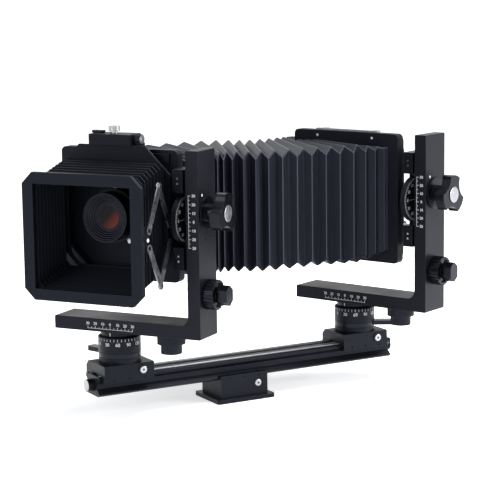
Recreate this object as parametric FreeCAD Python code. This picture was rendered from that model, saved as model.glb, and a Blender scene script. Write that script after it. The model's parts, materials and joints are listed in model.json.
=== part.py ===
"""View camera on a monorail: two L-shaped standards on geared carriages, joined by a pleated bellows.

Frame: origin at the bottom centre of the tripod base plate, +Z up, +Y along the rail to the rear, +X the
side with the uprights. Everything on a standard is drawn about its turret axis (x = u along the arm,
y = v to the rear, z = height above the base plate) and then swung and moved to its place by on_front or
on_rear.
"""
import FreeCAD, Part
import math
import os

V = FreeCAD.Vector
X, Y, Z = V(1, 0, 0), V(0, 1, 0), V(0, 0, 1)

# ---------------------------------------------------------------- clearances
CUT = 1.0          # how far a cutting shape runs on past the face it opens
SLIDE = 0.3        # between faces that slide or swing past each other
RUN = 0.05         # radial, a shaft in its hole
SEAT = 0.02        # radial, a piece fixed in its seat

# ---------------------------------------------------------------- tripod clamp and rail
BASE_X, BASE_Y, BASE_T, BASE_CORNER_R = 62.0, 79.0, 5.0, 3.0
SOCKET_R, SOCKET_WALL, SOCKET_H = 4.75, 4.5, 14.0
CLAMP_X, CLAMP_Y, CLAMP_H = 50.0, 64.2, 27.6
CLAMP_LIP = 6.0            # how far the clamp reaches up past the rail's underside
JAW_T = 11.0
CLAMP_BOLT_R, CLAMP_BOLT_HEAD_R, BOLT_HEAD_T, BOLT_SHORT, BOLT_ROOM = 3.0, 4.5, 1.0, 6.0, 1.0
CLAMP_BOLT_Y, CLAMP_BOLT_DOWN = 18.6, 13.0
CLAMP_KNOB_R, CLAMP_KNOB_T = 14.0, 13.0
RAIL_FRONT, RAIL_REAR = -187.9, 214.2
RAIL_W, WAIST_W, RAIL_H = 37.0, 24.0, 24.2
FOOT_W, FOOT_RISE, FLANGE_TOP = 30.0, 2.0, 3.2
WAIST_LOW, WAIST_HIGH, HEAD_LOW = 9.0, 14.5, 19.5
HEAD_BEVEL = 1.6
ROD_R, ROD_X, ROD_PROUD = 2.8, 12.5, 0.8
RACK_W, RACK_FLOOR = 10.0, 17.0
END_PLATE_T, END_SCREW_R, END_SCREW_T = 3.0, 7.4, 8.0

# ---------------------------------------------------------------- gearing
MODULE, TEETH, BACKLASH = 1.0, 13, 0.5
ADDENDUM, DEDENDUM = 0.9, 1.25
PRESSURE_ANGLE, FLANK_STEPS = math.radians(20), 4
PINION_W = 9.0

# ---------------------------------------------------------------- carriages
CARRIAGE_L, CARRIAGE_W, CARRIAGE_H = 64.3, 52.0, 20.5
CARRIAGE_DROP = 7.2        # how far the carriage reaches down past the rail's top
CARRIAGE_CHAMFER = 6.0
PINION_BACK = 17.8         # pinion shaft behind the turret axis
SHAFT_R, SHAFT_CAP_R, CAP_RING_R, CAP_T = 3.0, 4.65, 6.4, 1.0
FOCUS_KNOB_R, FOCUS_KNOB_T = 15.0, 15.0
SET_SCREW_R, SET_SCREW_DEEP, SET_SCREW_PITCH, SET_SCREW_IN = 1.0, 2.0, 20.0, 3.0
FRONT_Y, REAR_Y = -154.6, 174.9
FRONT_YAW, REAR_YAW = 35.2, 23.2

# ---------------------------------------------------------------- turrets
TURRET_R, HUB_R, SPINDLE_R = 25.3, 17.0, 10.0
FOOT_T, LEVER_T, DIAL_H, COLLAR_H = 6.0, 5.6, 18.0, 6.8
COLLAR_TOP_R, COLLAR_CONE = 22.0, 2.4
LEVER_REACH, LEVER_W = 50.0, 13.0
FRONT_LEVER_AT, REAR_LEVER_AT = 200.0, 60.0

# ---------------------------------------------------------------- knobs' gripping rings: depth and count
FLUTE_SHARES = (0.0, 0.35, 0.5, 0.85)      # of one flute's turn: over the crest, down, across, up
CLAMP_FLUTE, CLAMP_FLUTES, FOCUS_FLUTE, FOCUS_FLUTES = 1.2, 16, 1.2, 20
SHIFT_FLUTE, SHIFT_FLUTES, SHIFT_CAP_FLUTE, SHIFT_CAP_FLUTES = 0.8, 40, 0.6, 32
RISE_FLUTE, RISE_FLUTES, THUMB_FLUTE, THUMB_FLUTES, SIDE_FLUTE, SIDE_FLUTES = 1.4, 22, 0.4, 24, 0.5, 20

# ---------------------------------------------------------------- L-shaped standards
ARM_D, ARM_T = 43.0, 15.6
ARM_SHORT, UPRIGHT_T = 2.3, 15.8           # the arm ends short of the frame's far side
UPRIGHT_ABOVE, INNER_FILLET, EDGE_R = 3.5, 11.0, 1.2
GUIDE_FROM, GUIDE_PAST = -30.0, 10.5       # the guide runs this far past the knob
GUIDE_NECK_W, GUIDE_HEAD_W, GUIDE_NECK_H, GUIDE_HEAD_H = 14.0, 20.0, 4.0, 5.0
SHIFT, RISE = 30.0, 30.0
SHIFT_KNOB_IN, SHIFT_KNOB_R, SHIFT_KNOB_T = 49.4, 16.7, 10.7
SHIFT_CAP_R, SHIFT_CAP_T = 12.5, 11.5
GEAR_T = 3.0
WAY_NECK_W, WAY_HEAD_W, WAY_NECK_D, WAY_HEAD_D = 13.0, 21.0, 3.0, 4.8
WHEEL_R, SCREW_R, END_ROOM, RACK_BACKING = 6.2, 1.8, 2.0, 2.0
RISE_KNOB_Z, RISE_KNOB_R, RISE_KNOB_T = 50.5, 17.5, 13.0
WING_L, WING_W, WING_T, WING_ROUND, WING_BOSS_R, WING_BOSS_T = 25.0, 16.0, 14.0, 2.5, 8.0, 3.0
AXIS_Z = 136.5             # lens and tilt axis above the arm's underside
LOCK_ABOVE, LOCK_HUB_R, LOCK_HUB_T = 9.0, 10.0, 13.0
LOCK_HEAD_R, LOCK_HEAD_T, LOCK_BITE_R, LOCK_BITE_AT, LOCK_TURN = 23.5, 12.0, 19.0, 33.5, 20.0
LOCK_STEM_R, WING_RIM_R, RIM_DEEP, RIM_W = 1.5, 9.0, 3.0, 3.0
BADGE_R, BADGE_T = 10.0, 0.8
ESCUTCHEON_R, ESCUTCHEON_T = 19.0, 1.2

# ---------------------------------------------------------------- rise carriers and tilt
CARRIER_T, CARRIER_V0, CARRIER_V1, CARRIER_HALF, WEB_V0 = 8.0, -7.0, 18.0, 58.0, 1.0
BLOCK_GAP, BLOCK_V0, BLOCK_V1, BLOCK_H = 3.9, -13.0, 17.0, 26.0
RIB_LOW, RIB_HIGH = 47.0, 39.0
TILT_DIAL_R, TILT_DIAL_T, TILT_SPINDLE_R, TILT_HUB_R = 28.0, 6.0, 6.0, 10.0
TILT_HUB_L, DIAL_GAP = 9.0, 2.3

# ---------------------------------------------------------------- front standard
FRAME_HALF, FRAME_T, FRAME_R = 77.5, 13.0, 6.0
FRONT_FRAME_V = 8.5        # front face
FRAME_RIM, BOARD_INSET, BOARD_T = 15.5, 8.5, 4.0
BOARD_SLIDE_W, BOARD_SLIDE_H, BOARD_SLIDE_T = 26.0, 11.0, 3.0
BOARD_SLIDE_IN, BOARD_SLIDE_DOWN = 9.5, 4.0    # from the frame's side and top
SHUTTER_R, SHUTTER_T = 32.0, 17.0
BARREL_R, BARREL_WALL, BARREL_T = 29.0, 2.0, 19.0
GLASS_R, GLASS_T, GLASS_BACK, FUNNEL_LEDGE = 13.5, 4.0, 9.0, 2.5
REAR_CELL_R, REAR_CELL_T, REAR_GLASS_IN = 21.0, 16.0, 2.0
SHUTTER_LEVER_W, SHUTTER_LEVER_T, SHUTTER_LEVER_L, RELEASE_AT = 4.0, 3.0, 5.0, 150.0

# ---------------------------------------------------------------- lens hood
HOOD_PLATE_V, HOOD_PLATE_T = -8.0, 3.0
HOOD_PLATE_INSET, HOOD_PLATE_CUT, HOOD_PLATE_PROUD = 2.0, 31.8, 5.5
HOOD_SKIRT_INSET, HOOD_SKIRT_CUT, HOOD_SKIRT_WALL, TILT_LUG_T = 11.5, 32.0, 2.0, 5.5
HOOD_THROAT_IN, HOOD_THROAT_R = 17.5, 22.0
HOOD_REACH, HOOD_DROOP = 72.5, 17.0
HOOD_WIDER, HOOD_LOWER, HOOD_CUT, HOOD_FRONT_T = 0.2, 3.3, 13.2, 6.0
HOOD_RIM_W, HOOD_RIM_H = 14.2, 13.2
HOOD_TUBE_IN, HOOD_TUBE_FLAT, HOOD_CORNER, HOOD_PLEATS, HOOD_FOLD, SKIN = 10.7, 2.0, 8.0, 9, 4.0, 1.0
LINK_UP, LINK_W, LINK_T, LINK_PIN_R = 57.0, 8.6, 1.2, 1.5
LINK_DROP, LINK_IN, LINK_PIN_GAP, LINK_EYE_R, LINK_EYE_W = 15.0, 7.0, 10.0, 2.9, 1.4
EAR_T, EAR_END = 3.0, 4.0
HOOD_CLAMP_W, HOOD_CLAMP_H, HOOD_CLAMP_V0, HOOD_CLAMP_V1 = 54.0, 12.7, -13.5, 14.0
HOOD_HOOK_T, HOOD_HOOK_DOWN, HOOD_BRIDGE_T = 2.5, 3.0, 6.0
THUMB_R, THUMB_T, THUMB_NECK_R, THUMB_NECK_T, THUMB_STEM_R = 6.8, 6.0, 4.5, 2.5, 2.5
SIDE_KNOB_R, SIDE_KNOB_T, SIDE_STEM_R = 6.5, 9.0, 3.0
LATCH_L, LATCH_W, LATCH_T, LATCH_PIN_R, LATCH_IN = 16.0, 8.0, 3.0, 1.5, 6.0

# ---------------------------------------------------------------- rear standard
REAR_FRAME_V, REAR_FRAME_T = -19.5, 12.0
REAR_TALLER, REAR_RIM = 2.5, 16.5
BACK_T, BACK_INSET, BACK_SHORT = 14.0, 8.0, 2.5
GLASS_FRAME_INSET, GLASS_FRAME_T, HOLDER_GAP = 13.5, 9.0, 1.0
SCREEN_RIM, SCREEN_LEDGE, SCREEN_T = 2.0, 3.0, 2.0
FILM_RIM, FORMAT_LESS = 3.0, 12.0          # the film opening is this much lower than it is wide, each way
SCREEN_OVER, GLASS_FRAME_OVER = 2.0, 11.0
SPRING_W, SPRING_T, SPRING_PIN_R, SPRING_BITE, SPRING_DOWN = 8.0, 0.8, 2.5, 12.0, 40.0
BACK_CATCH_L, BACK_CATCH_W, BACK_CATCH_T, CATCH_IN, CATCH_HOOK = 92.0, 8.0, 2.0, 3.0, 5.0

# ---------------------------------------------------------------- main bellows
PLEATS, CORNER, END_OVER, END_PLEATS = 21, 4.0, 1.5, 3.0   # the ends lap each opening by END_OVER
SIDE_LESS, SIDE_FOLD, TOP_LESS, TOP_FOLD = 8.0, 6.0, 12.5, 7.0   # valleys in from the frame, fold depths
BELLOWS_SAG = 6.5   # how far its own weight draws the middle down
# It hangs in an easy S: pleat number, then the place and turn of that fold, between the two frames.
BELLOWS_WAY = (
    (7, -52.0, -2.0, -19.0),
    (11, -30.0, 50.0, -23.6),
    (15, -29.0, 113.0, -13.0),
    (18, -17.0, 140.0, 5.0),
)

# ---------------------------------------------------------------- heights and places that follow
RAIL_Z = BASE_T + CLAMP_H - CLAMP_LIP
RAIL_TOP = RAIL_Z + RAIL_H
CARRIAGE_Z = RAIL_TOP - CARRIAGE_DROP
CARRIAGE_TOP = CARRIAGE_Z + CARRIAGE_H
PITCH_R = MODULE * TEETH / 2
TOOTH_PITCH = math.pi * MODULE
RACK_TIP = RAIL_TOP - ROD_PROUD + 0.1
PINION_Z = RACK_TIP - ADDENDUM * MODULE + PITCH_R
LEVER_Z = CARRIAGE_TOP + FOOT_T + SLIDE
DIAL_Z = LEVER_Z + LEVER_T + SLIDE
COLLAR_Z = DIAL_Z + DIAL_H + SLIDE
ARM_Z = COLLAR_Z + COLLAR_H
ARM_TOP = ARM_Z + ARM_T
LENS_Z = ARM_Z + AXIS_Z
TILT_FACE_U = FRAME_HALF + TILT_HUB_L + TILT_DIAL_T
CARRIER_U = TILT_FACE_U + DIAL_GAP
BLOCK_IN = FRAME_HALF + BLOCK_GAP
UPRIGHT_IN = CARRIER_U + CARRIER_T + SLIDE
UPRIGHT_OUT = UPRIGHT_IN + UPRIGHT_T
UPRIGHT_TOP = LENS_Z + FRAME_HALF + UPRIGHT_ABOVE
ARM_LEFT = ARM_SHORT - FRAME_HALF
SHIFT_KNOB_U = UPRIGHT_OUT - SHIFT_KNOB_IN
GUIDE_TO = SHIFT_KNOB_U + GUIDE_PAST
HEAD_Z = ARM_Z + GUIDE_NECK_H
GEAR_Z = HEAD_Z + SLIDE + GUIDE_HEAD_H + SLIDE
KNOB_FACE = UPRIGHT_OUT + SLIDE
WAY_U = UPRIGHT_IN + WAY_NECK_D
WAY_TOP = LENS_Z + RIB_HIGH + RISE + END_ROOM
WAY_LOW = ARM_Z + RISE_KNOB_Z - WHEEL_R - END_ROOM
SCREW_V = WHEEL_R + SLIDE + SCREW_R
SCREW_U = WAY_U + (WAY_HEAD_D + SLIDE) / 2
PINION_REACH = PITCH_R + ADDENDUM * MODULE + SLIDE
SHIFT_RACK_TO = SHIFT_KNOB_U + SHIFT + PITCH_R
SHIFT_RACK_FROM = SHIFT_KNOB_U - SHIFT - PITCH_R
SHIFT_RACK_BACK = PITCH_R + DEDENDUM * MODULE + RACK_BACKING
CLAMP_BOLT_Z = BASE_T + CLAMP_H - CLAMP_BOLT_DOWN
JAW_X = -CLAMP_X / 2 + JAW_T
ROD_Z = RAIL_TOP + ROD_PROUD - ROD_R
FRAME_OPEN_HALF = FRAME_HALF - FRAME_RIM
BOARD_HALF = FRAME_HALF - BOARD_INSET
HOOD_PLATE_HALF = FRAME_HALF - HOOD_PLATE_INSET
HOOD_PLATE_TOP = LENS_Z + FRAME_HALF + HOOD_PLATE_PROUD
HOOD_PLATE_Z = HOOD_PLATE_TOP - HOOD_PLATE_HALF
HOOD_SKIRT_HALF = FRAME_HALF - HOOD_SKIRT_INSET
HOOD_HALF_W = FRAME_HALF + HOOD_WIDER
HOOD_HALF_H = FRAME_HALF - HOOD_LOWER
HOOD_OPEN_W = HOOD_HALF_W - HOOD_RIM_W
HOOD_OPEN_H = HOOD_HALF_H - HOOD_RIM_H
HOOD_BELLOWS_HALF = HOOD_HALF_W - HOOD_TUBE_IN
HOOD_FRONT_V = HOOD_PLATE_V - HOOD_REACH
HOOD_FRONT_Z = LENS_Z - HOOD_DROOP
LINK_REAR_V = HOOD_PLATE_V - LINK_IN
LINK_FRONT_V = HOOD_FRONT_V + HOOD_FRONT_T + LINK_IN
LINK_Z = LENS_Z - LINK_DROP
LINK_PIN_L = 2 * LINK_T + 2 * SLIDE
LINK_OUT = HOOD_HALF_W + SLIDE + LINK_PIN_L
LATCH_U = -HOOD_CLAMP_W / 2 + LATCH_IN
SIDE_KNOB_Z = HOOD_PLATE_TOP + HOOD_CLAMP_H / 2
REAR_HALF_H = FRAME_HALF + REAR_TALLER
REAR_OPEN_HALF = FRAME_HALF - REAR_RIM
REAR_BACK_V = REAR_FRAME_V + REAR_FRAME_T
BACK_V1 = REAR_BACK_V + BACK_T
GLASS_FRAME_HALF_W = FRAME_HALF - GLASS_FRAME_INSET
SCREEN_HALF_W = GLASS_FRAME_HALF_W - SCREEN_RIM
FILM_HALF_W = GLASS_FRAME_HALF_W - FILM_RIM
FILM_HALF_H = FILM_HALF_W - FORMAT_LESS
SCREEN_HALF_H = FILM_HALF_H + SCREEN_OVER
GLASS_FRAME_HALF_H = SCREEN_HALF_H + GLASS_FRAME_OVER
BELLOWS_END = max(FRAME_OPEN_HALF, REAR_OPEN_HALF) + END_OVER
BELLOWS_SIDE = FRAME_HALF - SIDE_LESS
BELLOWS_TOP = FRAME_HALF - TOP_LESS


# ================================================================ plain shapes
def box(x0, x1, y0, y1, z0, z1):
    return Part.makeBox(x1 - x0, y1 - y0, z1 - z0, V(x0, y0, z0))


def cyl(r, length, at, axis=Z):
    return Part.makeCylinder(r, length, at, axis)


def prism(points, along):
    wire = Part.makePolygon(points + [points[0]])
    return Part.Face(wire).extrude(along)


def ring(r_out, r_in, length, at, axis=Z):
    return cyl(r_out, length, at, axis).cut(cyl(r_in, length, at, axis))


def fluted(r, depth, count, length, at, axis):
    """A knob's gripping ring, with straight flutes, drawn upright and turned to its axis."""
    points = []
    for i in range(count):
        for share, radius in zip(FLUTE_SHARES, (r, r, r - depth, r - depth)):
            a = 2 * math.pi * (i + share) / count
            points.append(V(radius * math.cos(a), radius * math.sin(a), 0))
    return stand(prism(points, Z * length), at, axis)


def stand(shape, at, axis):
    """Turn a shape drawn along +Z to an axis and move it to its place."""
    shape = shape.copy()
    shape.Placement = FreeCAD.Placement(at, FreeCAD.Rotation(Z, axis))
    return shape


def rounded_plate(half_w, half_h, r, v0, v1, z):
    """An upright plate with rounded corners, facing along v."""
    plate = box(-half_w, half_w, v0, v1, z - half_h, z + half_h)
    if r <= 0:
        return plate
    edges = [e for e in plate.Edges if abs(e.tangentAt(e.FirstParameter).y) > 0.9]
    return plate.makeFillet(r, edges)


def octagon(half_w, half_h, cut, v0, v1, z):
    """An upright eight-sided plate, facing along v."""
    return prism([V(x, v0, z + y) for x, y in square_ring(half_w, half_h, cut)], V(0, v1 - v0, 0))


def square_ring(half_w, half_h, corner):
    """Corner points of a square with cut corners, in its own plane."""
    w, h, c = half_w, half_h, corner
    right = [(w - c, -h), (w, c - h), (w, h - c), (w - c, h)]
    return right + [(-x, y) for x, y in reversed(right)]


# ================================================================ gearing
def rack(length, thick, width):
    """A rack along +X from 0: teeth point to +Y with their tips at 0, thickness along +Z."""
    slope = math.tan(PRESSURE_ANGLE)
    tip = TOOTH_PITCH / 4 - BACKLASH / 2 - ADDENDUM * MODULE * slope
    root = TOOTH_PITCH / 4 - BACKLASH / 2 + DEDENDUM * MODULE * slope
    floor = -(ADDENDUM + DEDENDUM) * MODULE
    points = [V(0, -width, 0), V(0, floor, 0)]
    for i in range(int(length / TOOTH_PITCH)):
        middle = (i + 0.5) * TOOTH_PITCH
        tooth = [(-root, floor), (-tip, 0), (tip, 0), (root, floor)]
        points += [V(middle + across, up, 0) for across, up in tooth]
    points += [V(length, floor, 0), V(length, -width, 0)]
    return prism(points, Z * thick)


def pinion(thick, turn):
    """A pinion about +Z, with one tooth turned by an angle in radians from +X."""
    base = PITCH_R * math.cos(PRESSURE_ANGLE)
    outer, root = PITCH_R + ADDENDUM * MODULE, PITCH_R - DEDENDUM * MODULE
    spread = math.tan(PRESSURE_ANGLE) - PRESSURE_ANGLE
    half = (TOOTH_PITCH / 4 - BACKLASH / 2) / PITCH_R + spread
    points = []
    for i in range(TEETH):
        centre = turn + 2 * math.pi * i / TEETH
        flank = [(root, half)]
        for step in range(FLANK_STEPS + 1):
            r = base + (outer - base) * step / FLANK_STEPS
            roll = math.sqrt(max(r * r / base / base - 1, 0))
            flank.append((r, half - roll + math.atan(roll)))
        side = [(r, -a) for r, a in flank] + [(r, a) for r, a in reversed(flank)]
        points += [V(r * math.cos(centre + a), r * math.sin(centre + a), 0) for r, a in side]
    return prism(points, Z * thick)


def gap_turn(place, start):
    """How far the nearest gap of a rack that starts at `start` lies past a pinion at `place`, as a turn."""
    past = (place - start) % TOOTH_PITCH
    return (-past if past < TOOTH_PITCH / 2 else TOOTH_PITCH - past) / PITCH_R


# ================================================================ tripod clamp
def rail_outline(grow):
    """Right-hand half of the rail's section from the foot to the head's bevel, grown sideways and up."""
    w, t, g = RAIL_W / 2, WAIST_W / 2, grow
    foot = [(FOOT_W / 2 + g, -g), (w + g, FOOT_RISE - g), (w + g, FLANGE_TOP + g / 2)]
    waist = [(t + g, WAIST_LOW + g / 2), (t + g, WAIST_HIGH - g / 2)]
    head = [(w + g, HEAD_LOW - g / 2), (w + g, RAIL_H - HEAD_BEVEL + g), (w - HEAD_BEVEL + g, RAIL_H + g)]
    return foot + waist + head


def rail_section(grow, y0, y1):
    half = rail_outline(grow)
    outline = half + [(-x, h) for x, h in reversed(half)]
    return prism([V(x, y0, RAIL_Z + h) for x, h in outline], V(0, y1 - y0, 0))


def base_plate():
    plate = box(-BASE_X / 2, BASE_X / 2, -BASE_Y / 2, BASE_Y / 2, 0, BASE_T)
    plate = plate.makeFillet(BASE_CORNER_R, [e for e in plate.Edges if abs(e.tangentAt(0).z) > 0.9])
    plate = plate.fuse(cyl(SOCKET_R + SOCKET_WALL, SOCKET_H, V(0, 0, 0)))
    return plate.cut(cyl(SOCKET_R, SOCKET_H, V(0, 0, 0)))


def clamp_block():
    top = BASE_T + CLAMP_H
    block = box(-CLAMP_X / 2, CLAMP_X / 2, -CLAMP_Y / 2, CLAMP_Y / 2, BASE_T, top)
    block = block.cut(rail_section(SLIDE, -CLAMP_Y, CLAMP_Y))
    bolt_end = CLAMP_X / 2 - BOLT_SHORT + SLIDE + BOLT_ROOM
    bolt_at = V(-CLAMP_X, CLAMP_BOLT_Y, CLAMP_BOLT_Z)
    block = block.cut(cyl(CLAMP_BOLT_R + RUN, CLAMP_X + bolt_end, bolt_at, X))
    block = block.fuse(cyl(CLAMP_BOLT_HEAD_R, BOLT_HEAD_T, V(CLAMP_X / 2, CLAMP_BOLT_Y, CLAMP_BOLT_Z), X))
    for y in (-SET_SCREW_PITCH, 0, SET_SCREW_PITCH):
        at = V(CLAMP_X / 2 - SET_SCREW_DEEP, y, top - SET_SCREW_IN)
        block = block.cut(cyl(SET_SCREW_R, SET_SCREW_DEEP, at, X))
    return block


def clamp_body():
    keep = box(JAW_X, CLAMP_X, -CLAMP_Y, CLAMP_Y, 0, RAIL_TOP)
    return clamp_block().common(keep).cut(cyl(SOCKET_R + SOCKET_WALL + SEAT, SOCKET_H, V(0, 0, 0)))


def clamp_jaw():
    jaw = clamp_block().common(box(-CLAMP_X, JAW_X - SLIDE, -CLAMP_Y, CLAMP_Y, BASE_T + SLIDE, RAIL_TOP))
    return jaw


def clamp_knob():
    """Knob and bolt that draw the jaw in; the bolt ends inside the body."""
    at = V(-CLAMP_X / 2 - SLIDE, CLAMP_BOLT_Y, CLAMP_BOLT_Z)
    knob = fluted(CLAMP_KNOB_R, CLAMP_FLUTE, CLAMP_FLUTES, CLAMP_KNOB_T, at, -X)
    return knob.fuse(cyl(CLAMP_BOLT_R, CLAMP_X - BOLT_SHORT, at, X))


# ================================================================ rail
def rail():
    body = rail_section(0, RAIL_FRONT, RAIL_REAR)
    length = RAIL_REAR - RAIL_FRONT
    body = body.cut(box(-RACK_W / 2, RACK_W / 2, RAIL_FRONT, RAIL_REAR, RAIL_Z + RACK_FLOOR, RAIL_TOP))
    for side in (-1, 1):
        body = body.cut(cyl(ROD_R + SEAT, length, V(side * ROD_X, RAIL_FRONT, ROD_Z), Y))
    return body


def rail_rods():
    length = RAIL_REAR - RAIL_FRONT
    return [cyl(ROD_R, length, V(side * ROD_X, RAIL_FRONT, ROD_Z), Y) for side in (-1, 1)]


def rail_rack():
    """The long rack in the rail's slot, teeth up."""
    bar = rack(RAIL_REAR - RAIL_FRONT, RACK_W - 2 * SEAT, RACK_TIP - RAIL_Z - RACK_FLOOR)
    along_rail = FreeCAD.Rotation(Y, Z, X, "XYZ")
    bar.Placement = FreeCAD.Placement(V(SEAT - RACK_W / 2, RAIL_FRONT, RACK_TIP), along_rail)
    return bar


def rail_ends():
    """End plates with their round bright-faced screws."""
    z = RAIL_Z + RAIL_H / 2
    front, rear = RAIL_FRONT - END_PLATE_T, RAIL_REAR
    plates = [rail_section(0.0, y, y + END_PLATE_T) for y in (front, rear)]
    heads = (front - END_SCREW_T, rear + END_PLATE_T)
    screws = [cyl(END_SCREW_R, END_SCREW_T, V(0, y, z), Y) for y in heads]
    return [plates[0].fuse(screws[0]), plates[1].fuse(screws[1])]


# ================================================================ carriages
def carriage(y):
    half = CARRIAGE_W / 2
    shaft_y = y + PINION_BACK
    block = box(-half, half, y - CARRIAGE_L / 2, y + CARRIAGE_L / 2, CARRIAGE_Z, CARRIAGE_TOP)
    far_top = [e for e in block.Edges if e.CenterOfMass.x < -half + 1 and e.CenterOfMass.z > CARRIAGE_TOP - 1
               and abs(e.tangentAt(0).y) > 0.9]
    block = block.makeChamfer(CARRIAGE_CHAMFER, far_top)
    channel = rail_section(SLIDE, y - CARRIAGE_L, y + CARRIAGE_L)
    rod_out = ROD_X + ROD_R
    rod_top = RAIL_TOP + ROD_PROUD + SLIDE
    rods = box(-rod_out, rod_out, y - CARRIAGE_L, y + CARRIAGE_L, RAIL_TOP, rod_top)
    reach = PINION_REACH
    pocket_half = PINION_W / 2 + SLIDE
    pocket = cyl(reach, 2 * pocket_half, V(-pocket_half, shaft_y, PINION_Z), X)
    below = box(-pocket_half, pocket_half, shaft_y - reach, shaft_y + reach, RAIL_TOP, PINION_Z)
    bore = cyl(SHAFT_R + RUN, CARRIAGE_W * 2, V(-CARRIAGE_W, shaft_y, PINION_Z), X)
    block = block.cut([channel, rods, pocket, below, bore])
    for i in (-1, 0, 1):
        at = V(half - SET_SCREW_DEEP, y + i * SET_SCREW_PITCH, CARRIAGE_Z + SET_SCREW_IN)
        block = block.cut(cyl(SET_SCREW_R, SET_SCREW_DEEP, at, X))
    return block.fuse(ring(CAP_RING_R, SHAFT_CAP_R + RUN, CAP_T, V(half, shaft_y, PINION_Z), X))


def focus_knob(y):
    """Knob, shaft, pinion and bright end cap, turning as one."""
    half = CARRIAGE_W / 2
    shaft_y = y + PINION_BACK
    at = V(-half - SLIDE, shaft_y, PINION_Z)
    knob = fluted(FOCUS_KNOB_R, FOCUS_FLUTE, FOCUS_FLUTES, FOCUS_KNOB_T, at, -X)
    shaft = cyl(SHAFT_R, CARRIAGE_W + 2 * SLIDE, at, X)
    cap = cyl(SHAFT_CAP_R, CAP_T, V(half + SLIDE, shaft_y, PINION_Z), X)
    gear = pinion(PINION_W, gap_turn(shaft_y, RAIL_FRONT))
    tooth_down = FreeCAD.Rotation(-Z, Y, X, "XYZ")
    gear.Placement = FreeCAD.Placement(V(-PINION_W / 2, shaft_y, PINION_Z), tooth_down)
    return knob.fuse([shaft, cap, gear])


# ================================================================ turrets, drawn about their own axis
def swing_base():
    foot = cyl(TURRET_R, FOOT_T, V(0, 0, CARRIAGE_TOP))
    hub = cyl(HUB_R, DIAL_Z + DIAL_H - CARRIAGE_TOP, V(0, 0, CARRIAGE_TOP))
    spindle = cyl(SPINDLE_R, ARM_Z - SLIDE - CARRIAGE_TOP, V(0, 0, CARRIAGE_TOP))
    return foot.fuse([hub, spindle])


def swing_lever(at):
    """Lock ring round the hub, with its flat handle."""
    hoop = cyl(TURRET_R, LEVER_T, V(0, 0, LEVER_Z))
    handle = box(0, LEVER_REACH, -LEVER_W / 2, LEVER_W / 2, LEVER_Z, LEVER_Z + LEVER_T)
    handle = handle.makeFillet(LEVER_W / 3, [e for e in handle.Edges if e.CenterOfMass.x > LEVER_REACH - 1
                                            and abs(e.tangentAt(0).z) > 0.9])
    handle.rotate(V(0, 0, 0), Z, at)
    return hoop.fuse(handle).cut(cyl(HUB_R + RUN, LEVER_T, V(0, 0, LEVER_Z)))


def swing_dial():
    return ring(TURRET_R, HUB_R + SEAT, DIAL_H, V(0, 0, DIAL_Z))


def swing_collar():
    """The turning head: cone, collar and the long guide that the arm slides on."""
    cone = Part.makeCone(TURRET_R, COLLAR_TOP_R, COLLAR_CONE, V(0, 0, COLLAR_Z))
    collar = cyl(COLLAR_TOP_R, COLLAR_H - COLLAR_CONE - SLIDE, V(0, 0, COLLAR_Z + COLLAR_CONE))
    head = cone.fuse(collar).cut(cyl(SPINDLE_R + RUN, COLLAR_H, V(0, 0, COLLAR_Z)))
    neck = box(GUIDE_FROM, GUIDE_TO, -GUIDE_NECK_W / 2, GUIDE_NECK_W / 2, ARM_Z - SLIDE, HEAD_Z + SLIDE)
    low = HEAD_Z + SLIDE
    bar = box(GUIDE_FROM, GUIDE_TO, -GUIDE_HEAD_W / 2, GUIDE_HEAD_W / 2, low, low + GUIDE_HEAD_H)
    bore = cyl(SHAFT_R + RUN, ARM_T, V(SHIFT_KNOB_U, 0, ARM_Z - SLIDE))
    return head.fuse([neck, bar]).cut(bore)


def shift_knob():
    """Stepped knurled knob under the arm with its pinion above the guide."""
    top = ARM_Z - 2 * SLIDE
    low = top - SHIFT_KNOB_T
    grip = fluted(SHIFT_KNOB_R, SHIFT_FLUTE, SHIFT_FLUTES, SHIFT_KNOB_T, V(SHIFT_KNOB_U, 0, low), Z)
    cap_at = V(SHIFT_KNOB_U, 0, low - SHIFT_CAP_T)
    cap = fluted(SHIFT_CAP_R, SHIFT_CAP_FLUTE, SHIFT_CAP_FLUTES, SHIFT_CAP_T, cap_at, Z)
    shaft = cyl(SHAFT_R, GEAR_Z + GEAR_T - top, V(SHIFT_KNOB_U, 0, top))
    gear = pinion(GEAR_T, math.pi / 2 + gap_turn(-SHIFT_KNOB_U, -SHIFT_RACK_TO))
    gear.translate(V(SHIFT_KNOB_U, 0, GEAR_Z))
    return grip.fuse([cap, shaft, gear])


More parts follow.
